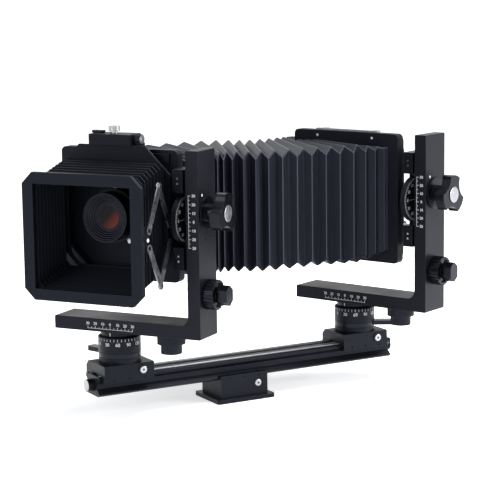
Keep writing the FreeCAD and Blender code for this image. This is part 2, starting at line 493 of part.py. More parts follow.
# ================================================================ the L-shaped standard
def standard():
    """Arm and upright in one, with the guide's slot under the arm and the carrier's way in the upright."""
    half = ARM_D / 2
    top = UPRIGHT_TOP
    arm = box(ARM_LEFT, UPRIGHT_OUT, -half, half, ARM_Z, ARM_TOP)
    post = box(UPRIGHT_IN, UPRIGHT_OUT, -half, half, ARM_Z, top)
    body = arm.fuse(post).removeSplitter()
    inner = [e for e in body.Edges if abs(e.tangentAt(0).y) > 0.9 and abs(e.CenterOfMass.x - UPRIGHT_IN) < 1
             and abs(e.CenterOfMass.z - ARM_TOP) < 1]
    body = body.makeFillet(INNER_FILLET, inner)
    ends = [e for e in body.Edges if abs(e.tangentAt(e.FirstParameter).y) > 0.9 and e.Length > ARM_D - 1
            and (e.CenterOfMass.x < ARM_LEFT + 1 or e.CenterOfMass.z > top - 1 or
                 (e.CenterOfMass.x > UPRIGHT_OUT - 1 and e.CenterOfMass.z < ARM_Z + 1))]
    body = body.makeFillet(EDGE_R, ends)
    g0, g1 = GUIDE_FROM - SHIFT - SLIDE, GUIDE_TO + SHIFT + SLIDE
    neck = box(g0, g1, -GUIDE_NECK_W / 2 - SLIDE, GUIDE_NECK_W / 2 + SLIDE, ARM_Z - CUT, HEAD_Z + CUT)
    head = box(g0, g1, -GUIDE_HEAD_W / 2 - SLIDE, GUIDE_HEAD_W / 2 + SLIDE, HEAD_Z, GEAR_Z)
    reach = PINION_REACH
    gears = box(SHIFT_RACK_FROM - reach, SHIFT_KNOB_U + SHIFT + reach, -reach, SHIFT_RACK_BACK,
                GEAR_Z - SLIDE, GEAR_Z + GEAR_T + SLIDE)
    half_neck, half_head = WAY_NECK_W / 2 + SLIDE, WAY_HEAD_W / 2 + SLIDE
    way_neck = box(UPRIGHT_IN - CUT, WAY_U, -half_neck, half_neck, WAY_LOW, WAY_TOP)
    way_head = box(WAY_U, WAY_U + WAY_HEAD_D + SLIDE, -half_head, half_head, WAY_LOW, WAY_TOP)
    rise_bore = cyl(SHAFT_R + RUN, UPRIGHT_T * 2, V(WAY_U + CUT, 0, ARM_Z + RISE_KNOB_Z), X)
    lock_bore = cyl(SHAFT_R + RUN, UPRIGHT_T * 2, V(WAY_U + CUT, 0, LENS_Z + LOCK_ABOVE), X)
    return body.cut([neck, head, gears, way_neck, way_head, rise_bore, lock_bore]).fuse(shift_rack())


def shift_rack():
    """Teeth cut in the arm beside the guide, towards the pinion."""
    width = SHIFT_RACK_BACK - PITCH_R + ADDENDUM * MODULE
    bar = rack(SHIFT_RACK_TO - SHIFT_RACK_FROM, GEAR_T + SLIDE, width)
    bar.rotate(V(0, 0, 0), Z, 180)
    bar.translate(V(SHIFT_RACK_TO, PITCH_R - ADDENDUM * MODULE, GEAR_Z))
    return bar


def rise_knob():
    """Fluted ring outside the upright, with the crossed wheel that turns the lifting screw."""
    z = ARM_Z + RISE_KNOB_Z
    grip = fluted(RISE_KNOB_R, RISE_FLUTE, RISE_FLUTES, RISE_KNOB_T, V(KNOB_FACE, 0, z), X)
    recess = ring(RISE_KNOB_R - RIM_W, WING_RIM_R, RIM_DEEP, V(KNOB_FACE + RISE_KNOB_T - RIM_DEEP, 0, z), X)
    shaft = cyl(SHAFT_R, KNOB_FACE - WAY_U - SLIDE, V(WAY_U + SLIDE, 0, z), X)
    wheel = cyl(WHEEL_R, WAY_HEAD_D - SLIDE, V(WAY_U + SLIDE, 0, z), X)
    hole = cyl(LOCK_STEM_R + RUN, UPRIGHT_T + RISE_KNOB_T + WAY_HEAD_D, V(WAY_U, 0, z), X)
    return grip.cut(recess).fuse([shaft, wheel]).cut(hole)


def rise_screw():
    """Lifting screw that stands in the upright and runs through the carrier's rib."""
    return cyl(SCREW_R, WAY_TOP - WAY_LOW - 2 * SLIDE, V(SCREW_U, SCREW_V, WAY_LOW + SLIDE))


def rise_wing():
    """Six-sided cap in the middle of the fluted ring, the drive's lock."""
    z = ARM_Z + RISE_KNOB_Z
    out = KNOB_FACE + RISE_KNOB_T + SLIDE
    half, end = WING_L / 2, WING_L / 4
    upper = [(-WING_W / 2, end), (0, half), (WING_W / 2, end)]
    outline = upper + [(-y, -height) for y, height in upper]
    wing = prism([V(out, y, z + height) for y, height in outline], V(WING_T, 0, 0))
    wing = wing.makeFillet(WING_ROUND, [e for e in wing.Edges if abs(e.tangentAt(0).x) > 0.9])
    boss = cyl(WING_BOSS_R, WING_BOSS_T, V(out, 0, z), X)
    stem = cyl(LOCK_STEM_R, out - WAY_U - SLIDE, V(WAY_U + SLIDE, 0, z), X)
    return wing.fuse([boss, stem])


def lock_knob():
    """Three-lobed knob that draws the carrier against the upright."""
    z = LENS_Z + LOCK_ABOVE
    face = KNOB_FACE + ESCUTCHEON_T
    stem = cyl(SHAFT_R, face - WAY_U - WAY_HEAD_D - SLIDE, V(WAY_U + WAY_HEAD_D + SLIDE, 0, z), X)
    washer = cyl(ESCUTCHEON_R, ESCUTCHEON_T, V(KNOB_FACE, 0, z), X)
    hub = cyl(LOCK_HUB_R, LOCK_HUB_T, V(face, 0, z), X)
    head = cyl(LOCK_HEAD_R, LOCK_HEAD_T, V(face + LOCK_HUB_T, 0, z), X)
    for i in range(3):
        a = math.radians(LOCK_TURN + 120 * i)
        at = V(face + LOCK_HUB_T, LOCK_BITE_AT * math.cos(a), z + LOCK_BITE_AT * math.sin(a))
        head = head.cut(cyl(LOCK_BITE_R, LOCK_HEAD_T, at, X))
    return hub.fuse([washer, head, stem])


def lock_badge():
    """Plain bright disc let into the knob's face."""
    at = V(KNOB_FACE + ESCUTCHEON_T + LOCK_HUB_T + LOCK_HEAD_T, 0, LENS_Z + LOCK_ABOVE)
    return cyl(BADGE_R, BADGE_T, at, X)


# ================================================================ rise carrier and tilt
def carrier():
    """Plate along the upright's inner face, a web behind the tilt disc, and a rib in the upright's way."""
    low, high = LENS_Z - CARRIER_HALF, LENS_Z + CARRIER_HALF
    plate = box(CARRIER_U, CARRIER_U + CARRIER_T, CARRIER_V0, CARRIER_V1, low, high)
    rib_low, rib_high = LENS_Z - RIB_LOW, LENS_Z + RIB_HIGH
    neck = box(CARRIER_U + CARRIER_T, WAY_U + SLIDE, -WAY_NECK_W / 2, WAY_NECK_W / 2, rib_low, rib_high)
    head = box(WAY_U + SLIDE, WAY_U + WAY_HEAD_D, -WAY_HEAD_W / 2, WAY_HEAD_W / 2, rib_low, rib_high)
    body = plate.fuse([neck, head])
    for z0 in (high - BLOCK_H, low):
        body = body.fuse(box(BLOCK_IN, CARRIER_U, BLOCK_V0, BLOCK_V1, z0, z0 + BLOCK_H))
    web = box(BLOCK_IN, TILT_FACE_U - TILT_DIAL_T - SLIDE, WEB_V0, BLOCK_V1, low, high)
    body = body.fuse(web.cut(cyl(TILT_HUB_R + RUN, BLOCK_IN, V(BLOCK_IN - CUT, 0, LENS_Z), X)))
    spindle = cyl(TILT_SPINDLE_R + RUN, UPRIGHT_T * 2, V(CARRIER_U - CUT, 0, LENS_Z), X)
    screw = cyl(SCREW_R + RUN, RIB_LOW + RIB_HIGH, V(SCREW_U, SCREW_V, LENS_Z - RIB_LOW))
    return body.cut([spindle, screw])


def tilt_dial():
    """Graduated disc on the frame's side, with the spindle that turns in the carrier."""
    hub = cyl(TILT_HUB_R, TILT_FACE_U - TILT_DIAL_T - FRAME_HALF, V(FRAME_HALF, 0, LENS_Z), X)
    disc = cyl(TILT_DIAL_R, TILT_DIAL_T, V(TILT_FACE_U - TILT_DIAL_T, 0, LENS_Z), X)
    spindle = cyl(TILT_SPINDLE_R, WAY_U + WAY_HEAD_D - TILT_FACE_U, V(TILT_FACE_U, 0, LENS_Z), X)
    return hub.fuse([disc, spindle])


# ================================================================ front standard and lens
def frame_ring(half, open_half, v0, v1):
    frame = rounded_plate(half, half, FRAME_R, v0, v1, LENS_Z)
    return frame.cut(rounded_plate(open_half, open_half, FRAME_R, v0 - CUT, v1 + CUT, LENS_Z))


def front_frame():
    """Square casting with a seat for the lens board and a lug for the tilt hub."""
    back = FRONT_FRAME_V + FRAME_T
    frame = frame_ring(FRAME_HALF, FRAME_OPEN_HALF, FRONT_FRAME_V, back)
    lug = box(FRAME_HALF - TILT_LUG_T, FRAME_HALF, HOOD_PLATE_V + HOOD_PLATE_T, FRONT_FRAME_V,
              LENS_Z - TILT_HUB_R, LENS_Z + TILT_HUB_R)
    seat_half, seat_back = BOARD_HALF + SEAT, FRONT_FRAME_V + BOARD_T
    seat = rounded_plate(seat_half, seat_half, FRAME_R, FRONT_FRAME_V - CUT, seat_back, LENS_Z)
    return frame.cut(seat).fuse(lug)


def lens_board():
    back = FRONT_FRAME_V + BOARD_T
    board = rounded_plate(BOARD_HALF, BOARD_HALF, FRAME_R, FRONT_FRAME_V, back, LENS_Z)
    return board.cut(cyl(REAR_CELL_R + SEAT, BOARD_T, V(0, FRONT_FRAME_V, LENS_Z), Y))


def board_slide():
    """Flat slide at the frame's top corner, lifted to free the lens board."""
    u1 = FRAME_HALF - BOARD_SLIDE_IN
    v1 = FRONT_FRAME_V - SLIDE
    top = LENS_Z + FRAME_HALF - BOARD_SLIDE_DOWN
    return box(u1 - BOARD_SLIDE_W, u1, v1 - BOARD_SLIDE_T, v1, top - BOARD_SLIDE_H, top)


def shutter():
    """Shutter housing in front of the board and its rear cell behind."""
    body = cyl(SHUTTER_R, SHUTTER_T, V(0, FRONT_FRAME_V - SHUTTER_T, LENS_Z), Y)
    cell = cyl(REAR_CELL_R, BOARD_T + REAR_CELL_T, V(0, FRONT_FRAME_V, LENS_Z), Y)
    body = body.fuse(cell)
    depth = BOARD_T + REAR_CELL_T + SHUTTER_T
    return body.cut(cyl(GLASS_R + SEAT, depth, V(0, FRONT_FRAME_V - SHUTTER_T, LENS_Z), Y))


def lens_barrel():
    """Stepped black funnel round the front glass."""
    v1 = FRONT_FRAME_V - SHUTTER_T
    v0 = v1 - BARREL_T
    barrel = cyl(BARREL_R, BARREL_T, V(0, v0, LENS_Z), Y)
    mouth_r, narrow_r = BARREL_R - BARREL_WALL, GLASS_R + FUNNEL_LEDGE
    funnel = Part.makeCone(mouth_r, narrow_r, GLASS_BACK, V(0, v0, LENS_Z), Y)
    throat = cyl(GLASS_R + SEAT, BARREL_T, V(0, v0, LENS_Z), Y)
    return barrel.cut([funnel, throat])


def lens_glass():
    """Front and rear elements, each a short convex disc in its cell."""
    front_v = FRONT_FRAME_V - SHUTTER_T - BARREL_T + GLASS_BACK
    rear_v = FRONT_FRAME_V + BOARD_T + REAR_CELL_T - GLASS_T - REAR_GLASS_IN
    return [lens(front_v, -1), lens(rear_v, 1)]


def lens(v, bulge):
    disc = cyl(GLASS_R, GLASS_T, V(0, v, LENS_Z), Y)
    radius = GLASS_R * 2
    sag = radius - math.sqrt(radius * radius - GLASS_R * GLASS_R)
    face = v if bulge < 0 else v + GLASS_T
    ball = Part.makeSphere(radius, V(0, face - bulge * (radius - sag), LENS_Z))
    return disc.common(ball) if sag < GLASS_T else disc


def shutter_levers():
    """Cocking lever and release lever on the shutter's rim."""
    v = FRONT_FRAME_V - SHUTTER_T / 2
    half_w, half_t, low = SHUTTER_LEVER_W / 2, SHUTTER_LEVER_T / 2, LENS_Z + SHUTTER_R
    cock = box(-half_w, half_w, v - half_t, v + half_t, low, low + SHUTTER_LEVER_L)
    release = cock.copy()
    release.rotate(V(0, v, LENS_Z), Y, RELEASE_AT)
    return [cock, release]


# ================================================================ lens hood
def hood_plate():
    """Octagonal plate with an octagonal skirt back to the standard, hidden behind it."""
    back = HOOD_PLATE_V + HOOD_PLATE_T
    plate = octagon(HOOD_PLATE_HALF, HOOD_PLATE_HALF, HOOD_PLATE_CUT, HOOD_PLATE_V, back, HOOD_PLATE_Z)
    half, cut = HOOD_SKIRT_HALF, HOOD_SKIRT_CUT
    skirt = octagon(half, half, cut, back, FRONT_FRAME_V, LENS_Z)
    half, cut = half - HOOD_SKIRT_WALL, cut - HOOD_SKIRT_WALL
    skirt = skirt.cut(octagon(half, half, cut, back - CUT, FRONT_FRAME_V + CUT, LENS_Z))
    throat = FRAME_HALF - HOOD_THROAT_IN
    inner = rounded_plate(throat, throat, HOOD_THROAT_R, HOOD_PLATE_V - CUT, back + CUT, LENS_Z)
    plate = plate.cut(inner).fuse(skirt)
    return plate.fuse(ears(HOOD_PLATE_HALF - EAR_T, LINK_REAR_V - EAR_END, HOOD_PLATE_V, LINK_REAR_V))


def ears(inner, v0, v1, pin_v):
    """A pair of flat ears with the pins of the folding bars, left and right."""
    half = LINK_PIN_GAP + EAR_END
    parts = []
    for side in (-1, 1):
        outer = HOOD_HALF_W - SLIDE
        x0 = inner if side > 0 else -outer
        parts.append(box(x0, x0 + outer - inner, v0, v1, LINK_Z - half, LINK_Z + half))
        for sign in (-1, 1):
            at = V(inner if side > 0 else -LINK_OUT, pin_v, LINK_Z + sign * LINK_PIN_GAP)
            parts.append(cyl(LINK_PIN_R, LINK_OUT - inner, at, X))
    return parts


def hood_front():
    """Front frame of the hood, an octagonal rim with a square mouth."""
    v1 = HOOD_FRONT_V + HOOD_FRONT_T
    rim = octagon(HOOD_HALF_W, HOOD_HALF_H, HOOD_CUT, HOOD_FRONT_V, v1, HOOD_FRONT_Z)
    low, high = HOOD_FRONT_Z - HOOD_OPEN_H, HOOD_FRONT_Z + HOOD_OPEN_H
    mouth = box(-HOOD_OPEN_W, HOOD_OPEN_W, HOOD_FRONT_V - CUT, v1 + CUT, low, high)
    return rim.cut(mouth).fuse(ears(HOOD_HALF_W - EAR_T, v1, LINK_FRONT_V + EAR_END, LINK_FRONT_V))


def tube_rings(rings, skin):
    """Closed pleated tube through rings of points, with walls of the given thickness."""
    inner = []
    for points in rings:
        middle = V(0, 0, 0)
        for p in points:
            middle = middle + p
        middle = middle * (1.0 / len(points))
        row = []
        for p in points:
            out = p - middle
            row.append(p - out * (skin / out.Length))
        inner.append(row)
    faces = []

    def patch(a, b, c, d):
        faces.append(Part.Face(Part.makePolygon([a, b, c, a])))
        faces.append(Part.Face(Part.makePolygon([a, c, d, a])))

    count = len(rings[0])
    for i in range(len(rings) - 1):
        for k in range(count):
            n = (k + 1) % count
            patch(rings[i][k], rings[i][n], rings[i + 1][n], rings[i + 1][k])
            patch(inner[i][k], inner[i + 1][k], inner[i + 1][n], inner[i][n])
    for k in range(count):
        n = (k + 1) % count
        patch(rings[0][k], inner[0][k], inner[0][n], rings[0][n])
        patch(rings[-1][k], rings[-1][n], inner[-1][n], inner[-1][k])
    solid = Part.Solid(Part.makeShell(faces))
    if solid.Volume < 0:
        solid.reverse()
    return solid


def hood_bellows():
    v0, v1 = HOOD_FRONT_V + HOOD_FRONT_T, HOOD_PLATE_V
    rings = []
    for i in range(2 * HOOD_PLEATS + 1):
        share = i / (2 * HOOD_PLEATS)
        half = HOOD_BELLOWS_HALF - (HOOD_FOLD if i % 2 else 0)
        z = HOOD_FRONT_Z + (LENS_Z - HOOD_FRONT_Z) * share
        v = v0 + (v1 - v0) * share
        rings.append([V(x, v, z + y) for x, y in square_ring(half, half - HOOD_TUBE_FLAT, HOOD_CORNER)])
    return tube_rings(rings, SKIN)


def link(a, b, x0):
    """A flat bar with round ends between two pins."""
    across = V(0, a.z - b.z, b.y - a.y).normalize() * (LINK_W / 2)
    bar = prism([a + across, b + across, b - across, a - across], X * LINK_T)
    for end in (a, b):
        bar = bar.fuse(cyl(LINK_W / 2, LINK_T, end, X))
    bar.translate(X * x0)
    return bar


def hood_links(sign, rear):
    """One pair of bars, left and right: sign +1 for the upper pair, rear for the pair at the plate."""
    joint = V(0, (LINK_REAR_V + LINK_FRONT_V) / 2, LINK_Z + sign * LINK_UP)
    end = V(0, LINK_REAR_V if rear else LINK_FRONT_V, LINK_Z + sign * LINK_PIN_GAP)
    layer = HOOD_HALF_W + SLIDE + (0 if rear else LINK_T + SLIDE)
    bars = []
    for side in (-1, 1):
        x0 = layer if side > 0 else -layer - LINK_T
        bar = link(end, joint, x0)
        if rear:
            bar = bar.cut(cyl(LINK_PIN_R + RUN, LINK_T, V(x0, end.y, end.z), X))
            pin = V(x0 if side > 0 else x0 + LINK_T - LINK_PIN_L, joint.y, joint.z)
            bar = bar.fuse(cyl(LINK_PIN_R, LINK_PIN_L, pin, X))
        else:
            bar = bar.fuse(cyl(LINK_EYE_R + LINK_EYE_W, LINK_T, V(x0, end.y, end.z), X))
            bar = bar.cut([cyl(LINK_PIN_R + RUN, LINK_T, V(x0, joint.y, joint.z), X),
                           cyl(LINK_EYE_R, LINK_T, V(x0, end.y, end.z), X)])
        bars.append(bar)
    return bars


def hood_clamp():
    """Box on top of the standard, hooked behind its frame, that carries the hood."""
    z0 = HOOD_PLATE_TOP
    top = z0 + HOOD_CLAMP_H
    half = HOOD_CLAMP_W / 2
    body = box(-half, half, HOOD_CLAMP_V0, HOOD_CLAMP_V1, z0, top)
    frame_back = FRONT_FRAME_V + FRAME_T
    frame_top = LENS_Z + FRAME_HALF
    bridge = box(-half, half, HOOD_CLAMP_V1, frame_back + HOOD_HOOK_T, frame_top, frame_top + HOOD_BRIDGE_T)
    deck = box(-half, half, HOOD_PLATE_V + HOOD_PLATE_T, frame_back, frame_top, z0)
    hook = box(-half, half, frame_back, frame_back + HOOD_HOOK_T, frame_top - HOOD_HOOK_DOWN, frame_top)
    body = body.fuse([bridge, deck, hook])
    stem = cyl(THUMB_STEM_R + RUN, HOOD_CLAMP_H, V(0, 0, z0), Z)
    side = cyl(SIDE_STEM_R + RUN, half, V(half / 2, 0, SIDE_KNOB_Z), X)
    latch = cyl(LATCH_PIN_R + RUN, HOOD_CLAMP_H, V(LATCH_U, 0, z0), Z)
    return body.cut([stem, side, latch])


def hood_thumb_knob():
    top = HOOD_PLATE_TOP + HOOD_CLAMP_H + SLIDE
    neck = cyl(THUMB_NECK_R, THUMB_NECK_T, V(0, 0, top))
    grip = fluted(THUMB_R, THUMB_FLUTE, THUMB_FLUTES, THUMB_T, V(0, 0, top + THUMB_NECK_T), Z)
    return grip.fuse([neck, cyl(THUMB_STEM_R, HOOD_CLAMP_H, V(0, 0, top - HOOD_CLAMP_H))])


def hood_side_knob():
    face = HOOD_CLAMP_W / 2 + SLIDE
    grip = fluted(SIDE_KNOB_R, SIDE_FLUTE, SIDE_FLUTES, SIDE_KNOB_T, V(face, 0, SIDE_KNOB_Z), X)
    return grip.fuse(cyl(SIDE_STEM_R, HOOD_CLAMP_W / 4, V(face - HOOD_CLAMP_W / 4, 0, SIDE_KNOB_Z), X))


def hood_latch():
    top = HOOD_PLATE_TOP + HOOD_CLAMP_H + SLIDE
    plate = box(LATCH_U - LATCH_L / 2, LATCH_U + LATCH_L / 2, -LATCH_W / 2, LATCH_W / 2, top, top + LATCH_T)
    plate = plate.makeFillet(LATCH_W / 3, [e for e in plate.Edges if abs(e.tangentAt(0).z) > 0.9])
    return plate.fuse(cyl(LATCH_PIN_R, HOOD_CLAMP_H - CUT, V(LATCH_U, 0, top - HOOD_CLAMP_H + CUT)))


# ================================================================ rear standard and back
def rear_frame():
    """Square frame with the tilt hub's lug."""
    frame = rounded_plate(FRAME_HALF, REAR_HALF_H, FRAME_R, REAR_FRAME_V, REAR_BACK_V, LENS_Z)
    v0, v1 = REAR_FRAME_V - CUT, REAR_BACK_V + CUT
    hole = rounded_plate(REAR_OPEN_HALF, REAR_OPEN_HALF, FRAME_R, v0, v1, LENS_Z)
    low, high = LENS_Z - TILT_HUB_R, LENS_Z + TILT_HUB_R
    lug = box(FRAME_HALF - BACK_INSET, FRAME_HALF, REAR_BACK_V, TILT_HUB_R, low, high)
    return frame.cut(hole).fuse(lug)


def camera_back():
    """Reversible back: a frame with the film holder's seat, held by the catches."""
    half_w, half_h = FRAME_HALF - BACK_INSET - SEAT, FRAME_HALF - BACK_SHORT
    frame = rounded_plate(half_w, half_h, FRAME_R, REAR_BACK_V, BACK_V1, LENS_Z)
    film = rounded_plate(FILM_HALF_W, FILM_HALF_H, 0, REAR_BACK_V - CUT, BACK_V1 + CUT, LENS_Z)
    return frame.cut(film)


def screen_frame():
    """Sprung frame that carries the focusing screen and lifts for the film holder."""
    v0 = BACK_V1 + HOLDER_GAP
    v1 = v0 + GLASS_FRAME_T
    frame = rounded_plate(GLASS_FRAME_HALF_W, GLASS_FRAME_HALF_H, FRAME_R, v0, v1, LENS_Z)
    open_w, open_h = SCREEN_HALF_W - SCREEN_LEDGE, SCREEN_HALF_H - SCREEN_LEDGE
    hole = rounded_plate(open_w, open_h, 0, v0 - CUT, v1 + CUT, LENS_Z)
    seat = rounded_plate(SCREEN_HALF_W, SCREEN_HALF_H, 0, v0 - CUT, v0 + SCREEN_T, LENS_Z)
    return frame.cut([hole, seat])


def focusing_screen():
    v0 = BACK_V1 + HOLDER_GAP
    return rounded_plate(SCREEN_HALF_W - SEAT, SCREEN_HALF_H - SEAT, 0, v0, v0 + SCREEN_T, LENS_Z)


def back_springs():
    """Leaf springs at each side, from pillars on the back to the screen frame."""
    v1 = BACK_V1 + HOLDER_GAP + GLASS_FRAME_T
    z0 = LENS_Z - SPRING_DOWN
    inner = GLASS_FRAME_HALF_W - SPRING_BITE
    outer = GLASS_FRAME_HALF_W + SLIDE + SPRING_PIN_R
    parts = []
    for side in (-1, 1):
        ends = sorted((side * inner, side * outer))
        leaf = box(ends[0], ends[1], v1, v1 + SPRING_T, z0, z0 + SPRING_W)
        post = cyl(SPRING_PIN_R, v1 - BACK_V1, V(side * outer, BACK_V1, z0 + SPRING_W / 2), Y)
        parts.append(leaf.fuse(post))
    return parts


def back_catch():
    """Sliding bar on the frame's top with two hooks over the back."""
    z = LENS_Z + REAR_HALF_H + SLIDE
    v0 = REAR_FRAME_V + CATCH_IN
    bar = box(-BACK_CATCH_L / 2, BACK_CATCH_L / 2, v0, REAR_BACK_V - CATCH_IN, z, z + BACK_CATCH_T)
    hooks = []
    for u in (-BACK_CATCH_L / 2 + BACK_CATCH_W, BACK_CATCH_L / 2 - BACK_CATCH_W):
        half = BACK_CATCH_W / 2
        hooks.append(box(u - half, u + half, v0, REAR_BACK_V + CATCH_HOOK, z, z + BACK_CATCH_T))
    return bar.fuse(hooks)


# ================================================================ main bellows
def swung(x, y, yaw, place):
    a = math.radians(yaw)
    return V(x * math.cos(a) - y * math.sin(a), place + x * math.sin(a) + y * math.cos(a), 0)


def bellows_way():
    """Stations of the folds: pleat number, place, turn and how each changes in one pleat."""
    start = swung(0, FRONT_FRAME_V + FRAME_T + SLIDE, FRONT_YAW, FRONT_Y)
    end = swung(0, REAR_FRAME_V - SLIDE, REAR_YAW, REAR_Y)
    stops = [(0, start.x, start.y, FRONT_YAW), *BELLOWS_WAY, (PLEATS, end.x, end.y, REAR_YAW)]
    slopes = []
    for k in range(len(stops)):
        a, b = stops[max(k - 1, 0)], stops[min(k + 1, len(stops) - 1)]
        slopes.append([(q - p) / (b[0] - a[0]) for p, q in zip(a[1:], b[1:])])
    return stops, slopes


def bellows_fold(pleat):
    """Centre and turn of the fold at a pleat number, on a smooth line through the stations."""
    stops, slopes = bellows_way()
    k = max(i for i in range(len(stops) - 1) if stops[i][0] <= pleat)
    length = stops[k + 1][0] - stops[k][0]
    t = (pleat - stops[k][0]) / length
    ease = t * t * (3 - 2 * t)
    out = []
    for p, q, m, n in zip(stops[k][1:], stops[k + 1][1:], slopes[k], slopes[k + 1]):
        out.append(p + (q - p) * ease + length * (m * t * (1 - t) ** 2 - n * t * t * (1 - t)))
    return out


def main_bellows():
    """Pleats from frame to frame; side ridges meet top valleys, as in any square bellows."""
    rings = []
    for i in range(2 * PLEATS + 1):
        pleat = i / 2
        x, y, turn = bellows_fold(pleat)
        across = V(math.cos(math.radians(turn)), math.sin(math.radians(turn)), 0)
        full = min(1.0, pleat / END_PLEATS, (PLEATS - pleat) / END_PLEATS)
        wide = BELLOWS_END + (BELLOWS_SIDE - BELLOWS_END + (SIDE_FOLD if i % 2 else 0)) * full
        tall = BELLOWS_END + (BELLOWS_TOP - BELLOWS_END + (0 if i % 2 else TOP_FOLD)) * full
        z = LENS_Z - BELLOWS_SAG * (1 - (2 * pleat / PLEATS - 1) ** 4)
        rings.append([V(x, y, z + h) + across * w for w, h in square_ring(wide, tall, CORNER)])
    return tube_rings(rings, SKIN)


# ================================================================ places and files
def on_front(shape):
    return placed(shape, FRONT_YAW, FRONT_Y)


def on_rear(shape):
    return placed(shape, REAR_YAW, REAR_Y)


def placed(shape, yaw, y):
    move = FreeCAD.Placement(V(0, y, 0), FreeCAD.Rotation(Z, yaw))
    moved = shape.copy()
    moved.Placement = move.multiply(shape.Placement)
    return moved


def save(node, shapes, place=None):
    solids = []
    for shape in shapes if isinstance(shapes, list) else [shapes]:
        shape = place(shape) if place else shape
        solids += shape.Solids
    whole = solids[0] if len(solids) == 1 else Part.makeCompound(solids)
    bad = [s for s in solids if not s.isValid() or s.Volume <= 0]
    box_ = whole.BoundBox
    print(f"{node:24s} solids {len(solids)} bad {len(bad)} volume {sum(s.Volume for s in solids):10.0f} "
          f"z {box_.ZMin:7.2f} {box_.ZMax:7.2f}")
    whole.exportStep(f"parts/{node}.step")


def main():
    os.makedirs("parts", exist_ok=True)
    save("base_plate", base_plate())
    save("clamp_body", clamp_body())
    save("clamp_jaw", clamp_jaw())
    save("clamp_knob", clamp_knob())
    save("rail", rail())
    save("rail_rods", rail_rods())
    save("rail_rack", rail_rack())
    save("rail_ends", rail_ends())
    for name, place, y, lever_at in (("front", on_front, FRONT_Y, FRONT_LEVER_AT - FRONT_YAW),
                                     ("rear", on_rear, REAR_Y, REAR_LEVER_AT - REAR_YAW)):
        save(f"{name}_carriage", carriage(y))
        save(f"{name}_focus_knob", focus_knob(y))
        save(f"{name}_swing_base", [swing_base(), swing_dial()], place)
        save(f"{name}_swing_lever", swing_lever(lever_at), place)
        save(f"{name}_swing_collar", swing_collar(), place)
        save(f"{name}_shift_knob", shift_knob(), place)
        save(f"{name}_standard", standard(), place)
        save(f"{name}_rise_knob", rise_knob(), place)
        save(f"{name}_rise_wing", rise_wing(), place)
        save(f"{name}_rise_screw", rise_screw(), place)
        save(f"{name}_lock_knob", [lock_knob(), lock_badge()], place)
        save(f"{name}_carrier", carrier(), place)
        save(f"{name}_tilt_dial", tilt_dial(), place)
    save("front_frame", front_frame(), on_front)
    save("lens_board", lens_board(), on_front)
    save("board_slide", board_slide(), on_front)
    save("shutter", shutter(), on_front)
    save("lens_barrel", lens_barrel(), on_front)
    save("lens_glass", lens_glass(), on_front)
    save("shutter_levers", shutter_levers(), on_front)
    save("hood_plate", hood_plate(), on_front)
    save("hood_clamp", hood_clamp(), on_front)
    save("hood_thumb_knob", hood_thumb_knob(), on_front)
    save("hood_side_knob", hood_side_knob(), on_front)
    save("hood_latch", hood_latch(), on_front)
    save("hood_front", hood_front(), on_front)
    save("hood_bellows", hood_bellows(), on_front)
    for end, rear in (("rear", True), ("front", False)):
        save(f"hood_links_{end}_upper", hood_links(1, rear), on_front)
        save(f"hood_links_{end}_lower", hood_links(-1, rear), on_front)
    save("main_bellows", main_bellows())
    save("rear_frame", rear_frame(), on_rear)
    save("camera_back", camera_back(), on_rear)
    save("screen_frame", screen_frame(), on_rear)
    save("focusing_screen", focusing_screen(), on_rear)
    save("back_springs", back_springs(), on_rear)
    save("back_catch", back_catch(), on_rear)


main()
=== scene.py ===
import json
import math

import bmesh
import bpy
from mathutils import Matrix, Vector


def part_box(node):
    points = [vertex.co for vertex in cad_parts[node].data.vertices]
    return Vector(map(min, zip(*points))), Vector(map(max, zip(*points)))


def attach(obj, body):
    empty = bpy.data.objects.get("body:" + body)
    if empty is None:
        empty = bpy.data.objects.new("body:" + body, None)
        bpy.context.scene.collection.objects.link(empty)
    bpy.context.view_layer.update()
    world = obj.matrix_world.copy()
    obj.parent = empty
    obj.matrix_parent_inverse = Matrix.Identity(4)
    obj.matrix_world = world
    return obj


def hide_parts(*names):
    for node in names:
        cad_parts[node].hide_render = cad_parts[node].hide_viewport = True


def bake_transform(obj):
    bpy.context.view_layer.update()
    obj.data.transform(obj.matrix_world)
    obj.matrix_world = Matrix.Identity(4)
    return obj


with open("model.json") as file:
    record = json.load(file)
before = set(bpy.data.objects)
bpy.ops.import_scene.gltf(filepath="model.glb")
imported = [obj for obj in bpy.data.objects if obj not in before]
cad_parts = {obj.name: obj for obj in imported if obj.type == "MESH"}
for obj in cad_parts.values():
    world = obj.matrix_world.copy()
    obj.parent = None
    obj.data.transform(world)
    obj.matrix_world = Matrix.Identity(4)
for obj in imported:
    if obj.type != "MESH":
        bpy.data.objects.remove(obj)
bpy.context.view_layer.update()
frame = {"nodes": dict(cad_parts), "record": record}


# Base plate, clamp, rail and standards are milled aluminium, bead blasted, anodised and dyed black.
# The oxide is hard and even: a soft wide highlight, a faint blue cast, and corners that wear to a paler grey.
def linear(code):
    """An sRGB hex colour as linear red, green, blue and 1."""
    parts = [int(code[i:i + 2], 16) / 255 for i in (1, 3, 5)]
    return [p / 12.92 if p <= 0.04045 else ((p + 0.055) / 1.055) ** 2.4 for p in parts] + [1.0]


def shade(code, share):
    """A hex colour made darker or lighter by a share, as linear values."""
    return [c * share for c in linear(code)[:3]] + [1.0]


def add(tree, kind, settings=None, **links):
    """Adds one node: settings name its properties or its sockets, links name the sockets that feed it."""
    node = tree.nodes.new(kind)
    for key, value in (settings or {}).items():
        if isinstance(key, int) or key in node.inputs:
            node.inputs[key].default_value = value
        else:
            setattr(node, key, value)
    for key, source in links.items():
        name = int(key[1:]) if key[0] == "_" else key.replace("__", " ")
        tree.links.new(source, node.inputs[name])
    return node


